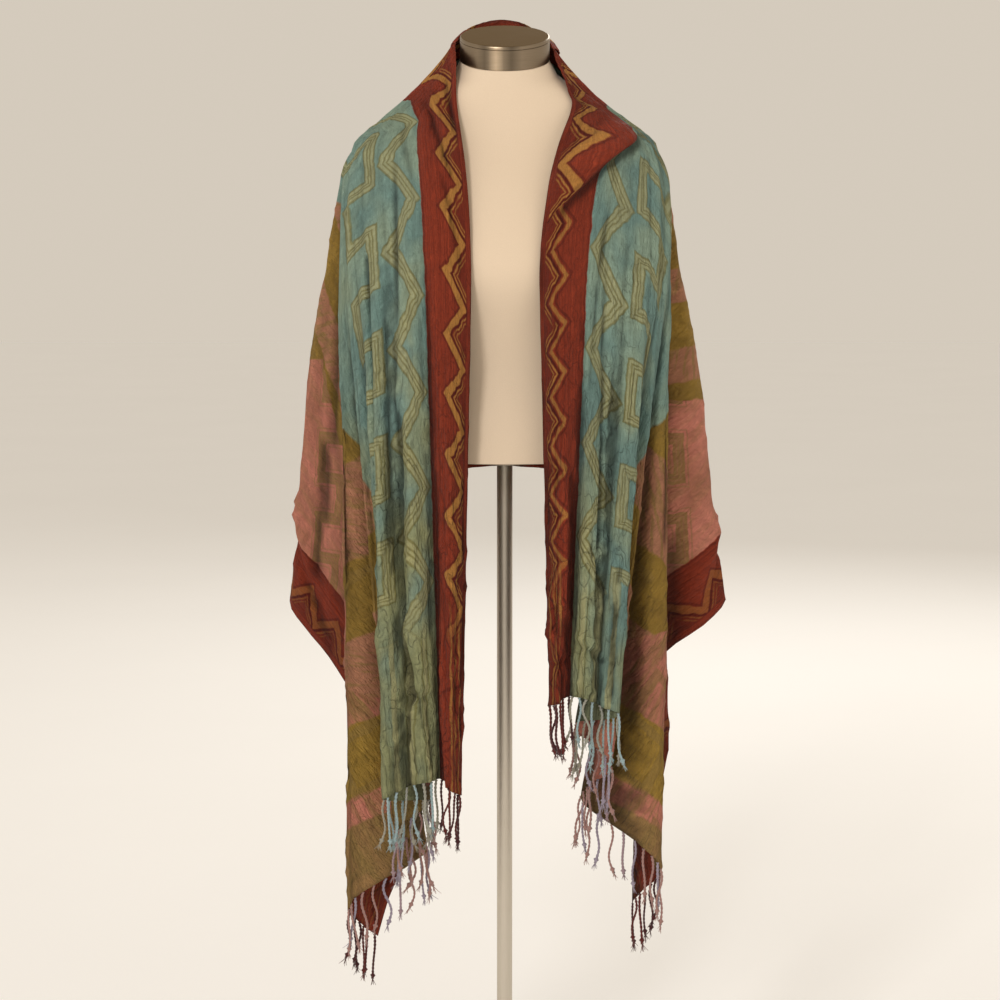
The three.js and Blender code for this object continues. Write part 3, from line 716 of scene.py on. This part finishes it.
def stray(draw, usual):
    """A random step sideways, of these usual sizes in x and in y."""
    return np.array([draw.gauss(0, usual[0]), draw.gauss(0, usual[1]), 0.0])


def cord_path(root, heading, draw):
    """A cord's middle line: it leaves the edge along heading, and then hangs with a slight curl."""
    share = np.linspace(0, 1, CORD_RINGS)[:, None]
    sway, curl = stray(draw, CORD_SWAY), stray(draw, CORD_CURL)
    length = FRINGE * draw.uniform(*CORD_SHARES)
    steps = unit(heading * (1 - share) * 0.8 + DOWN) * length / CORD_RINGS
    path = root - heading * 2.0 + np.cumsum(steps, axis=0)
    return path + share ** 2 * sway + np.sin(share * 7.0) * curl


def tuft_strand(end, fall, draw):
    """One loose strand of the tuft at a cord's end."""
    share = np.linspace(0, 1, TUFT["rings"])
    spread = stray(draw, TUFT["spread"])
    length = TUFT["length"] * draw.uniform(*TUFT["shares"])
    path = end - fall * 1.5 + share[:, None] * fall * length + (share ** 1.5)[:, None] * spread
    return tube(path, TUFT["radius"] * (1.3 - 0.8 * share), TUFT["sides"], 0.0)


def cord_parts(root, heading, draw):
    """One twisted cord with its knot, and the frayed tuft below it, as a list of tubes."""
    path = cord_path(root, heading, draw)
    share = np.linspace(0, 1, CORD_RINGS)
    knot = np.exp(-(((share - KNOT["at"]) / KNOT["length"]) ** 2))
    radii = CORD_RADIUS * draw.uniform(0.88, 1.12) * (1 - 0.12 * share)
    radii += (KNOT["radius"] - CORD_RADIUS) * knot
    cord = tube(path, radii, CORD_SIDES, CORD_TWISTS, CORD_LOBES)
    fall = unit(path[-1] - path[-4] + 2.0 * DOWN)
    return [cord] + [tuft_strand(path[-1], fall, draw) for _ in range(TUFT["strands"])]


def build_fringe(side, points, flat):
    """The cords along one short end of the cloth, joined into one mesh."""
    first, last = (guide_index(side + name) * COLUMNS_PER_GUIDE for name in ("_edge", "_corner"))
    step = 1 if first < last else -1
    columns = np.arange(first, last + step, step)
    places = flat[columns, -1, 1]
    draw = random.Random(41 if side == "left" else 43)
    vertices, faces, maps, total = [], [], [], 0
    count = int(WIDTH / CORD_SPACING)
    for k in range(count):
        t = (k + 0.5) * WIDTH / count
        root = interpolated(t, places, points[columns, -1])
        above = interpolated(t, places, points[columns, -4])
        for part, part_faces in cord_parts(root, unit(root - above), draw):
            drop = np.linalg.norm(part - root, axis=1)
            vertices.append(part)
            maps.append(np.column_stack([drop, np.full(len(part), t)]))
            faces.extend([[corner + total for corner in face] for face in part_faces])
            total += len(part)
    return add_mesh("fringe_" + side, np.vstack(vertices), faces, np.vstack(maps))


# ---- Materials ----


def srgb(red, green, blue):
    """A colour given as 0 to 255 on a screen, as the shaders count it."""
    shares = (value / 255 for value in (red, green, blue))
    return tuple(x / 12.92 if x <= 0.04045 else ((x + 0.055) / 1.055) ** 2.4 for x in shares) + (1.0,)


class Term:
    """A number that a material works out at each point, written in formulas like a plain one."""

    def __init__(self, tree, socket):
        self.tree = tree
        self.socket = socket

    def apply(self, operation, *others, clamp=False):
        node = self.tree.nodes.new("ShaderNodeMath")
        node.operation = operation
        node.use_clamp = clamp
        for slot, value in zip(node.inputs, (self, *others)):
            if isinstance(value, Term):
                self.tree.links.new(value.socket, slot)
            else:
                slot.default_value = value
        return Term(self.tree, node.outputs[0])

    __add__ = __radd__ = partialmethod(apply, "ADD")
    __sub__ = partialmethod(apply, "SUBTRACT")
    __mul__ = partialmethod(apply, "MULTIPLY")
    __truediv__ = partialmethod(apply, "DIVIDE")
    __abs__ = partialmethod(apply, "ABSOLUTE")
    least = partialmethod(apply, "MINIMUM")
    most = partialmethod(apply, "MAXIMUM")
    clamped = partialmethod(apply, "ADD", 0.0, clamp=True)  # kept between 0 and 1

    def __rsub__(self, other):
        return self * -1.0 + other

    def above(self, edge, soft=0.7):
        """1 where the number is over edge, 0 under it, and soft between."""
        return ((self - edge) / (2 * soft) + 0.5).clamped()

    def below(self, edge, soft=0.7):
        """1 where the number is under edge, 0 over it, and soft between."""
        return ((edge - self) / (2 * soft) + 0.5).clamped()


class Paint:
    """A material's nodes, written as formulas."""

    def __init__(self, name):
        self.material = bpy.data.materials.new(name)
        self.material.use_nodes = True
        self.tree = self.material.node_tree
        self.shader = self.tree.nodes["Principled BSDF"]

    def node(self, kind, **settings):
        node = self.tree.nodes.new(kind)
        for key, value in settings.items():
            setattr(node, key, value)
        return node

    def link(self, source, target):
        """Gives an input a plain number or colour, or links a term or a socket to it."""
        if isinstance(source, (tuple, float, int)):
            target.default_value = source
        else:
            self.tree.links.new(source.socket if isinstance(source, Term) else source, target)

    def split(self, vector):
        """The first two parts of a vector, in millimetres where it is in metres."""
        parts = self.node("ShaderNodeSeparateXYZ")
        self.link(vector, parts.inputs[0])
        return tuple(Term(self.tree, parts.outputs[k]) * 1000.0 for k in (0, 1))

    def flat(self):
        """The place on the flat cloth, s and t in millimetres."""
        return self.split(self.node("ShaderNodeUVMap", uv_map="flat").outputs[0])

    def object_place(self, scale=(1, 1, 1)):
        """The place on the object, in units of scale metres."""
        mapping = self.node("ShaderNodeMapping")
        mapping.inputs["Scale"].default_value = tuple(1 / value for value in scale)
        self.link(self.node("ShaderNodeTexCoord").outputs["Object"], mapping.inputs["Vector"])
        return mapping.outputs[0]

    def noise(self, vector, detail=2.0, roughness=0.5):
        """Smooth noise from 0 to 1, whose clouds are about one unit of the vector across."""
        node = self.node("ShaderNodeTexNoise")
        node.inputs["Scale"].default_value = 1.0
        node.inputs["Detail"].default_value = detail
        node.inputs["Roughness"].default_value = roughness
        self.link(vector, node.inputs["Vector"])
        return Term(self.tree, node.outputs[0])

    def clouds(self, x, y, seed=0.0, detail=2.0, roughness=0.5):
        """Noise over the cloth. x and y grow by one from cloud to cloud. Each seed gives other clouds."""
        node = self.node("ShaderNodeCombineXYZ")
        for slot, value in zip(node.inputs, (x, y, seed)):
            self.link(value, slot)
        return self.noise(node.outputs[0], detail, roughness)

    def mix(self, share, first, second):
        """first where share is 0 and second where it is 1. Each is a colour or a colour socket."""
        node = self.node("ShaderNodeMix", data_type="RGBA")
        for index, value in ((0, share), (6, first), (7, second)):
            self.link(value, node.inputs[index])
        return node.outputs[2]

    def scaled(self, colour, factor):
        """A colour made darker or lighter by a number."""
        node = self.node("ShaderNodeVectorMath", operation="SCALE")
        self.link(colour, node.inputs[0])
        self.link(factor, node.inputs["Scale"])
        return node.outputs[0]

    def colour(self, colour):
        self.link(colour, self.shader.inputs["Base Color"])

    def bump(self, height, strength, distance):
        node = self.node("ShaderNodeBump")
        node.inputs["Strength"].default_value = strength
        node.inputs["Distance"].default_value = distance
        self.link(height, node.inputs["Height"])
        self.link(node.outputs[0], self.shader.inputs["Normal"])

    def set(self, **values):
        for key, value in values.items():
            self.shader.inputs[key.replace("_", " ")].default_value = value


# The cloth's colours.
RUST = srgb(110, 38, 24)
RUST_LIT = srgb(156, 64, 40)
MAROON = srgb(80, 24, 18)
TAN = srgb(184, 132, 66)
AQUA = srgb(144, 166, 148)
AQUA_DEEP = srgb(116, 146, 140)
SAGE = srgb(148, 146, 98)
SAGE_PALE = srgb(172, 168, 122)
OLIVE = srgb(108, 102, 48)
MUSTARD = srgb(164, 132, 60)
MUSTARD_DEEP = srgb(136, 108, 52)
CLAY = srgb(180, 126, 98)
ROSE = srgb(214, 136, 118)
ROSE_DEEP = srgb(180, 118, 96)
BRONZE = srgb(146, 120, 70)

# The woven lines, in millimetres on the flat cloth. Each runs along it, and swings to either side of middle
# once in every period.
COARSE_ZIGZAG = {"middle": 31.0, "swing": 16.0, "period": 74.0}  # on the borders
FINE_ZIGZAG = {"middle": 36.0, "swing": 13.0, "period": 58.0}  # on the border below the right lapel
AQUA_ZIGZAG = {"middle": 112.0, "swing": 20.0, "period": 116.0}
AQUA_STEPS = {"middle": 172.0, "swing": 18.0, "period": 128.0}
OCHRE_STEPS = {"middle": 350.0, "swing": 30.0, "period": 176.0}
FLARE_STEPS = {"middle": -92.0, "swing": 21.0, "period": 104.0}
ROSE_STEPS = {"middle": 492.0, "swing": 30.0, "period": 140.0}
LOW_ROSE_STEPS = {"middle": 578.0, "swing": 24.0, "period": 118.0}

# The zigzag lines where one field meets the next: the length of a leg, and how much it slants.
AQUA_END = {"at": 222.0, "leg": 230.0, "slope": 0.3}
OCHRE_END = {"at": 468.0, "leg": 95.0, "slope": -0.7}

BORDER_EDGE = float(BORDER)
BLOCK_SLANT = 0.2
LAPEL_SLANT = 1.03  # the right lapel's fold runs where s + t times this is LAPEL_AT
LAPEL_AT = 435.0
FLARE_TURN = math.radians(57)  # where the cloth flares at the sides it hangs at this angle to its length

# Distances from the centre back.
FLARES_FROM = 180.0
OCHRE_BLOCKS_FROM = 520.0  # here the middle field's slanting stripes turn to blocks
FRONTS_FROM = 560.0  # here the flares end
BORDER_STRIPES_FROM = 850.0  # here the border's zigzag turns to stripes
AQUA_STRIPES_FROM = 870.0

# Distances from the neck edge.
UNDER_ARM = 230.0  # from here on the cloth is creased less
BACK_HALF = 350.0  # from here on the border is the hem's, and its marks are fainter


def zigzag(along, across, middle, swing, period):
    """How far across the cloth a place lies from a zigzag line that swings to either side of middle."""
    slope = 2 * swing / (period / 2)
    wander = along.apply("PINGPONG", period / 2) * slope + (middle - swing)
    return (across - wander) * math.cos(math.atan(slope))


def key_line(along, across, middle, swing, period):
    """The distance from a line that runs along the cloth in right-angled steps, to either side of middle."""
    x = along.apply("PINGPONG", period / 2) - period / 4
    y = across - middle
    riser = abs(x).most(abs(y) - swing)
    side = x.above(0.0, 0.01) * 2.0 - 1.0
    tread = abs(y - side * swing)
    return riser.least(tread)


def beyond(along, across, at, leg, slope):
    """1 beyond the zigzag line that starts at this distance across the cloth, and 0 before it."""
    return (across - along.apply("PINGPONG", leg) * slope).above(at, 1.5)


def line(distance, at, width, soft=0.6):
    """1 on a thin line where the distance is at, and 0 off it."""
    return abs(abs(distance) - at).below(width / 2, soft)


def stripe(place, middle, half, soft=0.7):
    """1 on a stripe of this half width, and 0 off it."""
    return abs(place - middle).below(half, soft)


def block(s, t, middle, half):
    """1 inside a slanting block that crosses the cloth, at this distance from the centre back."""
    return stripe(abs(s) + t * BLOCK_SLANT, middle, half, 2.0)


def border_path(s, t, across, patches):
    """The distance from the border's zigzag, and 1 where that is the fine one, below the right lapel."""
    below_fold = (s + t * LAPEL_SLANT).above(LAPEL_AT, 0.5)
    fine = below_fold * t.below(BACK_HALF)
    coarse_path = zigzag(s + 14.0 + patches * 8.0, across, **COARSE_ZIGZAG)
    fine_path = zigzag(s + patches * 8.0, across, **FINE_ZIGZAG)
    return coarse_path * (1.0 - fine) + fine_path * fine, fine


def border_colour(paint, s, t):
    """The woven border along both long edges: a zigzag with lines nested in it, that turns to stripes."""
    across = t.least(WIDTH - t)
    streaks = paint.clouds(s * 0.006, t * 0.6, detail=3.0)
    patches = paint.clouds(s * 0.02, t * 0.05, 5.0)
    specks = paint.clouds(s * 0.12, t * 0.5)
    rust = paint.mix(streaks.above(0.5, 0.28), RUST, RUST_LIT)
    path, fine = border_path(s, t, across, patches)
    shade = path.below(-4.0, 3.0) * 0.45 + line(path, 6.4, 3.0) * 0.6
    ground = across.above(8.0) * shade.least(1.0) * (0.5 + patches * 0.7)
    colour = paint.mix(ground.clamped(), rust, MAROON)
    thick = abs(path).below(4.6 - fine * 2.0, 0.8) * (1.0 - fine * 0.25)
    nested = line(path + 10.0, 0.0, 2.2).most(line(path + 14.6, 0.0, 1.8) * 0.8)
    marks = thick.most(nested * patches.above(0.38, 0.1) * 0.9) * across.above(10.0) * across.below(52.0)
    from_middle = across - COARSE_ZIGZAG["middle"]
    stripes = line(from_middle, 11.0, 3.0).most(line(from_middle, 2.5, 2.4)) * patches.above(0.4, 0.15)
    at_end = abs(s).above(BORDER_STRIPES_FROM, 30.0)
    marks = marks * (1.0 - at_end) + stripes * at_end * 0.8
    worn = (0.4 + streaks * 0.5 + specks * 0.4) * t.below(BACK_HALF, 20.0).most(0.36)
    colour = paint.mix((marks * worn).clamped(), colour, TAN)
    edge_line = line(across - 78.0, 0.0, 1.6) * 0.6
    return paint.mix(edge_line, colour, MAROON)


def aqua_colour(paint, s, t):
    """The field next to the neck border: pale bands outlined in olive on aqua, which turn to stripes."""
    clouds = paint.clouds(s * 0.011, t * 0.016)
    ground = paint.mix(clouds.above(0.5, 0.1), AQUA_DEEP, AQUA)
    faded = (abs(s) - 500.0) / 420.0 + (clouds - 0.5) * 2.4 - s.above(0.0) * 0.5
    ground = paint.mix(faded.clamped() * 0.8, ground, SAGE)
    path = zigzag(s, t, **AQUA_ZIGZAG)
    steps = key_line(s + 20.0, t, **AQUA_STEPS)
    at_end = abs(s).above(AQUA_STRIPES_FROM, 25.0)
    stripes = stripe(t, 132.0, 5.0).most(stripe(t, 106.0, 3.0)).most(stripe(t, 156.0, 3.5))
    band = abs(path).below(8.6).most(steps.below(7.6)) * (1.0 - at_end) + stripes * at_end
    path_lines = line(path, 8.4, 2.6).most(line(path, 2.2, 2.0))
    step_lines = line(steps, 7.4, 2.6).most(line(steps, 1.8, 2.0))
    seams = line(t - 132.0, 6.5, 2.0).most(line(t - 106.0, 5.0, 1.8))
    colour = paint.mix(band * 0.7, ground, SAGE_PALE)
    lines = path_lines.most(step_lines) * (1.0 - at_end) + seams * at_end
    return paint.mix((0.35 + clouds * 0.5) * lines, colour, OLIVE)


def ochre_colour(paint, s, t):
    """The middle of the cloth: slanting blocks of mustard and clay, streaked along the thread."""
    slant = (t + s * 0.45).apply("PINGPONG", 56.0)
    warp = paint.clouds(s * 0.012, t * 0.012, 3.0)
    streaks = paint.clouds(s * 0.02 + t * 0.02, t * 0.1 - s * 0.1)
    mustard = paint.mix(warp.above(0.5, 0.2), MUSTARD_DEEP, MUSTARD)
    clay = paint.mix(streaks.above(0.55, 0.08) * 0.7, CLAY, BRONZE)
    near_ends = abs(s).above(OCHRE_BLOCKS_FROM, 2.0)
    blocks = block(s, t, 690.0, 62.0).most(block(s, t, 917.0, 66.0))
    colour = paint.mix(slant.below(24.0, 1.5) * (1.0 - near_ends) + blocks * near_ends, mustard, clay)
    colour = paint.mix(block(s, t, 1064.0, 32.0), colour, ROSE)
    colour = paint.mix((abs(s) + t * BLOCK_SLANT).above(1096.0, 2.0), colour, BRONZE)
    steps = key_line(s + 40.0, t, **OCHRE_STEPS)
    return paint.mix(steps.below(6.5) * 0.35, colour, BRONZE)


def rose_keys(s, t):
    """The distances from the rose field's bronze keys at the sides and elsewhere, and 1 at the sides.

    The keys at the sides are woven aslant, and so hang upright."""
    along = abs(s) * math.cos(FLARE_TURN) + t * math.sin(FLARE_TURN)
    across = t * math.cos(FLARE_TURN) - abs(s) * math.sin(FLARE_TURN)
    flare = key_line(along + 30.0, across, **FLARE_STEPS)
    steps = key_line(s, t, **ROSE_STEPS).least(key_line(s + 62.0, t, **LOW_ROSE_STEPS))
    return flare, steps, abs(s).above(FLARES_FROM, 2.0) * abs(s).below(FRONTS_FROM, 2.0)


def rose_colour(paint, s, t):
    """The field next to the hem border: rose with a bronze key pattern, and blocks of the other colours."""
    clouds = paint.clouds(s * 0.01, t * 0.01, 7.0)
    streaks = paint.clouds(s * 0.015, t * 0.09)
    ground = paint.mix(clouds.above(0.48, 0.14), ROSE_DEEP, ROSE)
    near_ends = abs(s).above(FRONTS_FROM, 20.0)
    ground = paint.mix(streaks.above(0.56, 0.1) * (0.3 + near_ends * 0.4), ground, BRONZE)
    ground = paint.mix(block(s, t, 1005.0, 46.0), ground, MUSTARD)
    ground = paint.mix((abs(s) + t * BLOCK_SLANT).above(1085.0, 2.0) * 0.85, ground, BRONZE)
    flare, steps, at_side = rose_keys(s, t)
    marks = flare.below(7.5) * at_side + steps.below(6.3) * (1.0 - at_side) * 0.7
    fine = line(flare, 11.5, 1.8) * at_side + line(steps, 11.0, 1.8) * (1.0 - at_side) * 0.6
    cores = line(flare, 2.4, 1.6) * at_side
    colour = paint.mix(marks.most(fine * 0.6) * 0.75, ground, BRONZE)
    return paint.mix(cores * 0.4, colour, ROSE_DEEP)


def cloth_colour(paint, s, t):
    """The whole pattern, from the neck border to the hem border."""
    colour = aqua_colour(paint, s, t)
    colour = paint.mix(beyond(abs(s) - 250.0, t, **AQUA_END), colour, ochre_colour(paint, s, t))
    colour = paint.mix(beyond(s + 50.0, t, **OCHRE_END), colour, rose_colour(paint, s, t))
    border = t.least(WIDTH - t).below(BORDER_EDGE)
    return paint.mix(border, colour, border_colour(paint, s, t))


def crease_lines(paint, s, t):
    """The fine sharp creases of a soft cloth: thin wandering lines, mostly along it, that come and go. The
    material raises them with its bump and also paints shade along them.
    """
    first = abs(paint.clouds(s * 0.011, t * 0.045, 9.0, 3.0) - 0.5).below(0.012, 0.014)
    second = abs(paint.clouds(s * 0.03 + t * 0.02, t * 0.05 - s * 0.01, 2.0) - 0.5).below(0.008, 0.012)
    gate = paint.clouds(s * 0.009, t * 0.012, 4.0, 1.0)
    return first * gate.above(0.45, 0.1) + second * gate.below(0.52, 0.08)


def cloth_material():
    """The woven cloth: its pattern, threads, creases and twill, and shade painted into its colour in its
    folds, just below the right lapel's fold and along its fine creases.
    """
    paint = Paint("pashmina")
    s, t = paint.flat()
    uneven = paint.clouds(s * 0.06, t * 0.06) - 0.5
    s, t = s + uneven * 9.0, t + uneven * 5.0
    colour = cloth_colour(paint, s, t)
    threads = paint.clouds(s * 0.05, t * 1.1, detail=3.0, roughness=0.7)
    slubs = paint.clouds(s * 0.6, t * 0.12)
    twill = ((s + t) * (2 * math.pi / 1.5)).apply("SINE")
    low = abs(s).above(FRONTS_FROM, 170.0)
    creases = crease_lines(paint, s, t) * (0.3 + low * 0.7) * (1.0 - t.above(UNDER_ARM, 20.0) * 0.5)
    painted_fold_shade = Term(paint.tree, paint.node("ShaderNodeAttribute", attribute_name="painted_fold_shade").outputs["Fac"])
    light = 0.72 + threads * 0.52 + slubs * 0.18 + twill * 0.03
    # Painted shade: the colour is darkened where the cloth lies deep in a fold, just below the right lapel's
    # fold, and along the fine creases.
    paint.colour(paint.scaled(colour, light * (1.0 - painted_fold_shade * 0.66) * (1.0 - creases * 0.3)))
    crinkle = paint.clouds(s * 0.035, t * 0.16, detail=4.0, roughness=0.6)
    pucker = paint.clouds(s * 0.2, t * 0.24, detail=3.0, roughness=0.6)
    folds = crinkle * (2.8 + low * 2.2)
    paint.bump(folds + pucker * 1.6 + threads * 0.4 + twill * 0.1 - creases * 1.1, 1.0, 0.0026)
    paint.set(Roughness=0.75, Sheen_Weight=0.03, Sheen_Roughness=0.4, Specular_IOR_Level=0.16)
    return paint.material


def fringe_material():
    """Twisted cords in the colours of the cloth above them, their fibres uneven in tone."""
    paint = Paint("fringe_yarn")
    drop, t = paint.flat()
    pick = paint.clouds(0.0, t * 0.085, detail=0.0)
    pale = paint.mix(pick.above(0.52, 0.03), srgb(146, 168, 172), srgb(150, 146, 132))
    dusky = paint.mix(pick.above(0.5, 0.03), srgb(158, 122, 116), srgb(150, 140, 156))
    colour = paint.mix(t.above(270.0, 4.0), pale, dusky)
    edge = t.least(WIDTH - t).below(BORDER_EDGE, 2.0)
    dark = paint.mix(pick.above(0.52, 0.03), srgb(92, 34, 30), srgb(66, 30, 32))
    colour = paint.mix(edge, colour, dark)
    fibres = paint.clouds(drop * 0.8, t * 3.0, detail=3.0)
    paint.colour(paint.scaled(colour, 0.7 + fibres * 0.6))
    paint.bump(fibres, 0.5, 0.0006)
    paint.set(Roughness=0.85, Sheen_Weight=0.3, Sheen_Roughness=0.5, Specular_IOR_Level=0.2)
    return paint.material


CAP_TILT = math.radians(18)  # how far the form's neck, and its cap, lean forward
SAME_SURFACE = math.cos(math.radians(38))  # faces that turn less than this from each other are one surface


def jersey_material():
    """The form's cream jersey cover: a fine knit with a little uneven shade."""
    paint = Paint("cream_jersey")
    shade = paint.noise(paint.object_place((0.2, 0.2, 0.3)), 3.0)
    knit = paint.noise(paint.object_place((0.0012, 0.0012, 0.0009)))
    colour = paint.mix(shade, srgb(220, 200, 175), srgb(228, 209, 186))
    paint.colour(paint.scaled(colour, 0.95 + knit * 0.1))
    paint.bump(knit, 0.35, 0.0006)
    paint.set(Roughness=0.88, Sheen_Weight=0.15, Sheen_Roughness=0.4, Specular_IOR_Level=0.25)
    return paint.material


def cap_lid(paint):
    """1 on the cap's tilted top, and 0 on its side."""
    facing = paint.node("ShaderNodeVectorMath", operation="DOT_PRODUCT")
    paint.link(paint.node("ShaderNodeTexCoord").outputs["Normal"], facing.inputs[0])
    facing.inputs[1].default_value = (0, -math.sin(CAP_TILT), math.cos(CAP_TILT))
    return Term(paint.tree, facing.outputs["Value"]).above(0.9, 0.03)


def cap_painted_highlight(paint):
    """How bright the cap's side is painted across its front: a painted highlight band between two painted
    darker bands.
    """
    x = paint.split(paint.object_place())[0]
    painted_dark_bands = stripe(x, -25.0, 4.0, 5.0).most(stripe(x, 8.0, 7.0, 6.0))
    return 0.86 + stripe(x, -11.0, 5.0, 4.5) * 0.75 - painted_dark_bands * 0.4


def steel_material(name, stretch, tint, roughness):
    """Brushed steel whose fine scratches run the long way of stretch, with a warm cast."""
    paint = Paint(name)
    scratches = paint.noise(paint.object_place(stretch), 4.0, 0.7)
    smudge = paint.noise(paint.object_place((0.05, 0.05, 0.03)))
    colour = paint.mix(scratches * 0.4, tint, srgb(196, 184, 168))
    colour = paint.scaled(colour, 0.72 + scratches * 0.3)
    dullness = smudge * 0.12 + scratches * 0.1 + roughness
    if name == "neck_steel":
        lid = cap_lid(paint)
        # The cap's side gets a painted highlight: a bright band between two darker painted bands, fixed on
        # the cap.
        colour = paint.mix(lid, paint.scaled(colour, cap_painted_highlight(paint)), srgb(116, 94, 60))
        dullness = dullness + lid * 0.4
    paint.colour(colour)
    paint.link(dullness, paint.shader.inputs["Roughness"])
    paint.bump(scratches, 0.25, 0.0003)
    paint.set(Metallic=1.0)
    return paint.material


def round_off(mesh):
    """Shades a faceted solid as round, except over its own edges. Its vertices stay where they are."""
    mesh.polygons.foreach_set("use_smooth", [True] * len(mesh.polygons))
    corners = [(face, tuple(round(x, 6) for x in mesh.vertices[corner].co))
               for face in mesh.polygons for corner in face.vertices]
    around = {}
    for face, place in corners:
        around.setdefault(place, []).append((face.normal.copy(), face.area))
    normals = []
    for face, place in corners:
        near = [normal * area for normal, area in around[place] if normal.dot(face.normal) > SAME_SURFACE]
        normals.append(tuple(sum(near, face.normal * 0).normalized()))
    mesh.normals_split_custom_set(normals)


def dress_nodes():
    """Gives the form and its stand, whose solids have the right shape, their materials."""
    finishes = {
        "form_body": jersey_material(),
        "neck_cap": steel_material("neck_steel", (0.03, 0.03, 0.0004), srgb(158, 138, 112), 0.24),
        "form_plate": steel_material("plate_steel", (0.02, 0.0006, 0.02), srgb(150, 140, 128), 0.3),
        "stand_pole": steel_material("pole_steel", (0.0006, 0.0006, 0.05), srgb(226, 218, 204), 0.4),
        "stand_base": steel_material("base_steel", (0.02, 0.0006, 0.02), srgb(150, 144, 136), 0.34),
    }
    for name, material in finishes.items():
        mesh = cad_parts[name].data
        mesh.materials.clear()
        mesh.materials.append(material)
        mesh.polygons.foreach_set("material_index", [0] * len(mesh.polygons))
        round_off(mesh)


# ---- The studio, in metres, degrees and watts ----
CAMERA = {"distance": 3.0, "elevation": 7.0, "aim": (-0.006, 0.0, 0.893), "frame": 1.28}
FLOOR_HALF = 20.0
LAMP_AIM = (0, 0, 1.0)
LAMPS = [
    {"name": "key", "place": (-1.7, -4.4, 3.1), "size": (0.9, 1.1), "power": 92, "colour": (1, 0.97, 0.94)},
    {"name": "fill", "place": (2.6, -2.2, 1.9), "size": (1.6, 1.6), "power": 4, "colour": (1, 0.97, 0.94)},
    {"name": "back", "place": (1.4, 4.2, 3.2), "size": (1.8, 1.4), "power": 60, "colour": (1, 0.98, 0.95)},
]


def place_camera():
    data = bpy.data.cameras.new("camera")
    camera = placed("camera", data)
    tilt = math.radians(CAMERA["elevation"])
    x, y, z = CAMERA["aim"]
    camera.location = (x, y - CAMERA["distance"] * math.cos(tilt), z + CAMERA["distance"] * math.sin(tilt))
    camera.rotation_euler = (math.pi / 2 - tilt, 0, 0)
    data.sensor_fit = "HORIZONTAL"
    data.angle = 2 * math.atan(CAMERA["frame"] / 2 / CAMERA["distance"])
    bpy.context.scene.camera = camera


def floor_material():
    """A pale matt floor, with a faint mottle."""
    paint = Paint("pale_floor")
    mottle = paint.noise(paint.object_place((0.6, 0.6, 0.6)), 3.0)
    paint.colour(paint.scaled((1.0, 1.0, 1.0), 0.98 + mottle * 0.03))
    paint.set(Roughness=0.9, Specular_IOR_Level=0.1)
    return paint.material


def add_floor():
    mesh = bpy.data.meshes.new("floor")
    corners = [(x * FLOOR_HALF, y * FLOOR_HALF, 0) for x, y in ((-1, -1), (1, -1), (1, 1), (-1, 1))]
    mesh.from_pydata(corners, [], [(0, 1, 2, 3)])
    mesh.materials.append(floor_material())
    placed("floor", mesh)


def add_lamp(name, place, size, power, colour):
    """A soft rectangular lamp that points at LAMP_AIM."""
    data = bpy.data.lights.new(name, "AREA")
    data.shape = "RECTANGLE"
    data.size, data.size_y = size
    data.energy = power
    data.color = colour
    lamp = placed(name, data)
    lamp.location = place
    way = np.subtract(LAMP_AIM, place)
    flat_way = math.hypot(way[0], way[1])
    lamp.rotation_euler = (math.atan2(flat_way, -way[2]), 0, math.atan2(way[1], way[0]) - math.pi / 2)


def light_studio():
    world = bpy.data.worlds.new("studio")
    world.use_nodes = True
    background = world.node_tree.nodes["Background"]
    background.inputs[0].default_value = srgb(240, 229, 213)
    background.inputs[1].default_value = 0.76
    bpy.context.scene.world = world
    bpy.context.scene.view_settings.view_transform = "Standard"
    for lamp in LAMPS:
        add_lamp(**lamp)


# ---- Putting it together ----
CLOTH_NODES = ["neck_border", "back_panel", "hem_border_back", "collar_flap"]
for end in ("left", "right"):
    CLOTH_NODES += [part + end for part in (
        "front_border_", "front_panel_", "side_fold_", "side_flare_", "hem_border_")]


def build_scarf():
    """The cloth and its fringe, in place of their solids."""
    points, flat, pattern, depth = cloth_points()
    cloth = build_cloth(points, pattern, depth)
    cloth.data.materials.append(cloth_material())
    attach(cloth, "root")
    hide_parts(*CLOTH_NODES)
    yarn = fringe_material()
    for side in ("left", "right"):
        fringe = build_fringe(side, points, flat)
        fringe.data.materials.append(yarn)
        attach(fringe, "root")
        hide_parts("fringe_front_" + side, "fringe_side_" + side)


place_camera()
build_scarf()
dress_nodes()
add_floor()
light_studio()

bpy.context.view_layer.update()
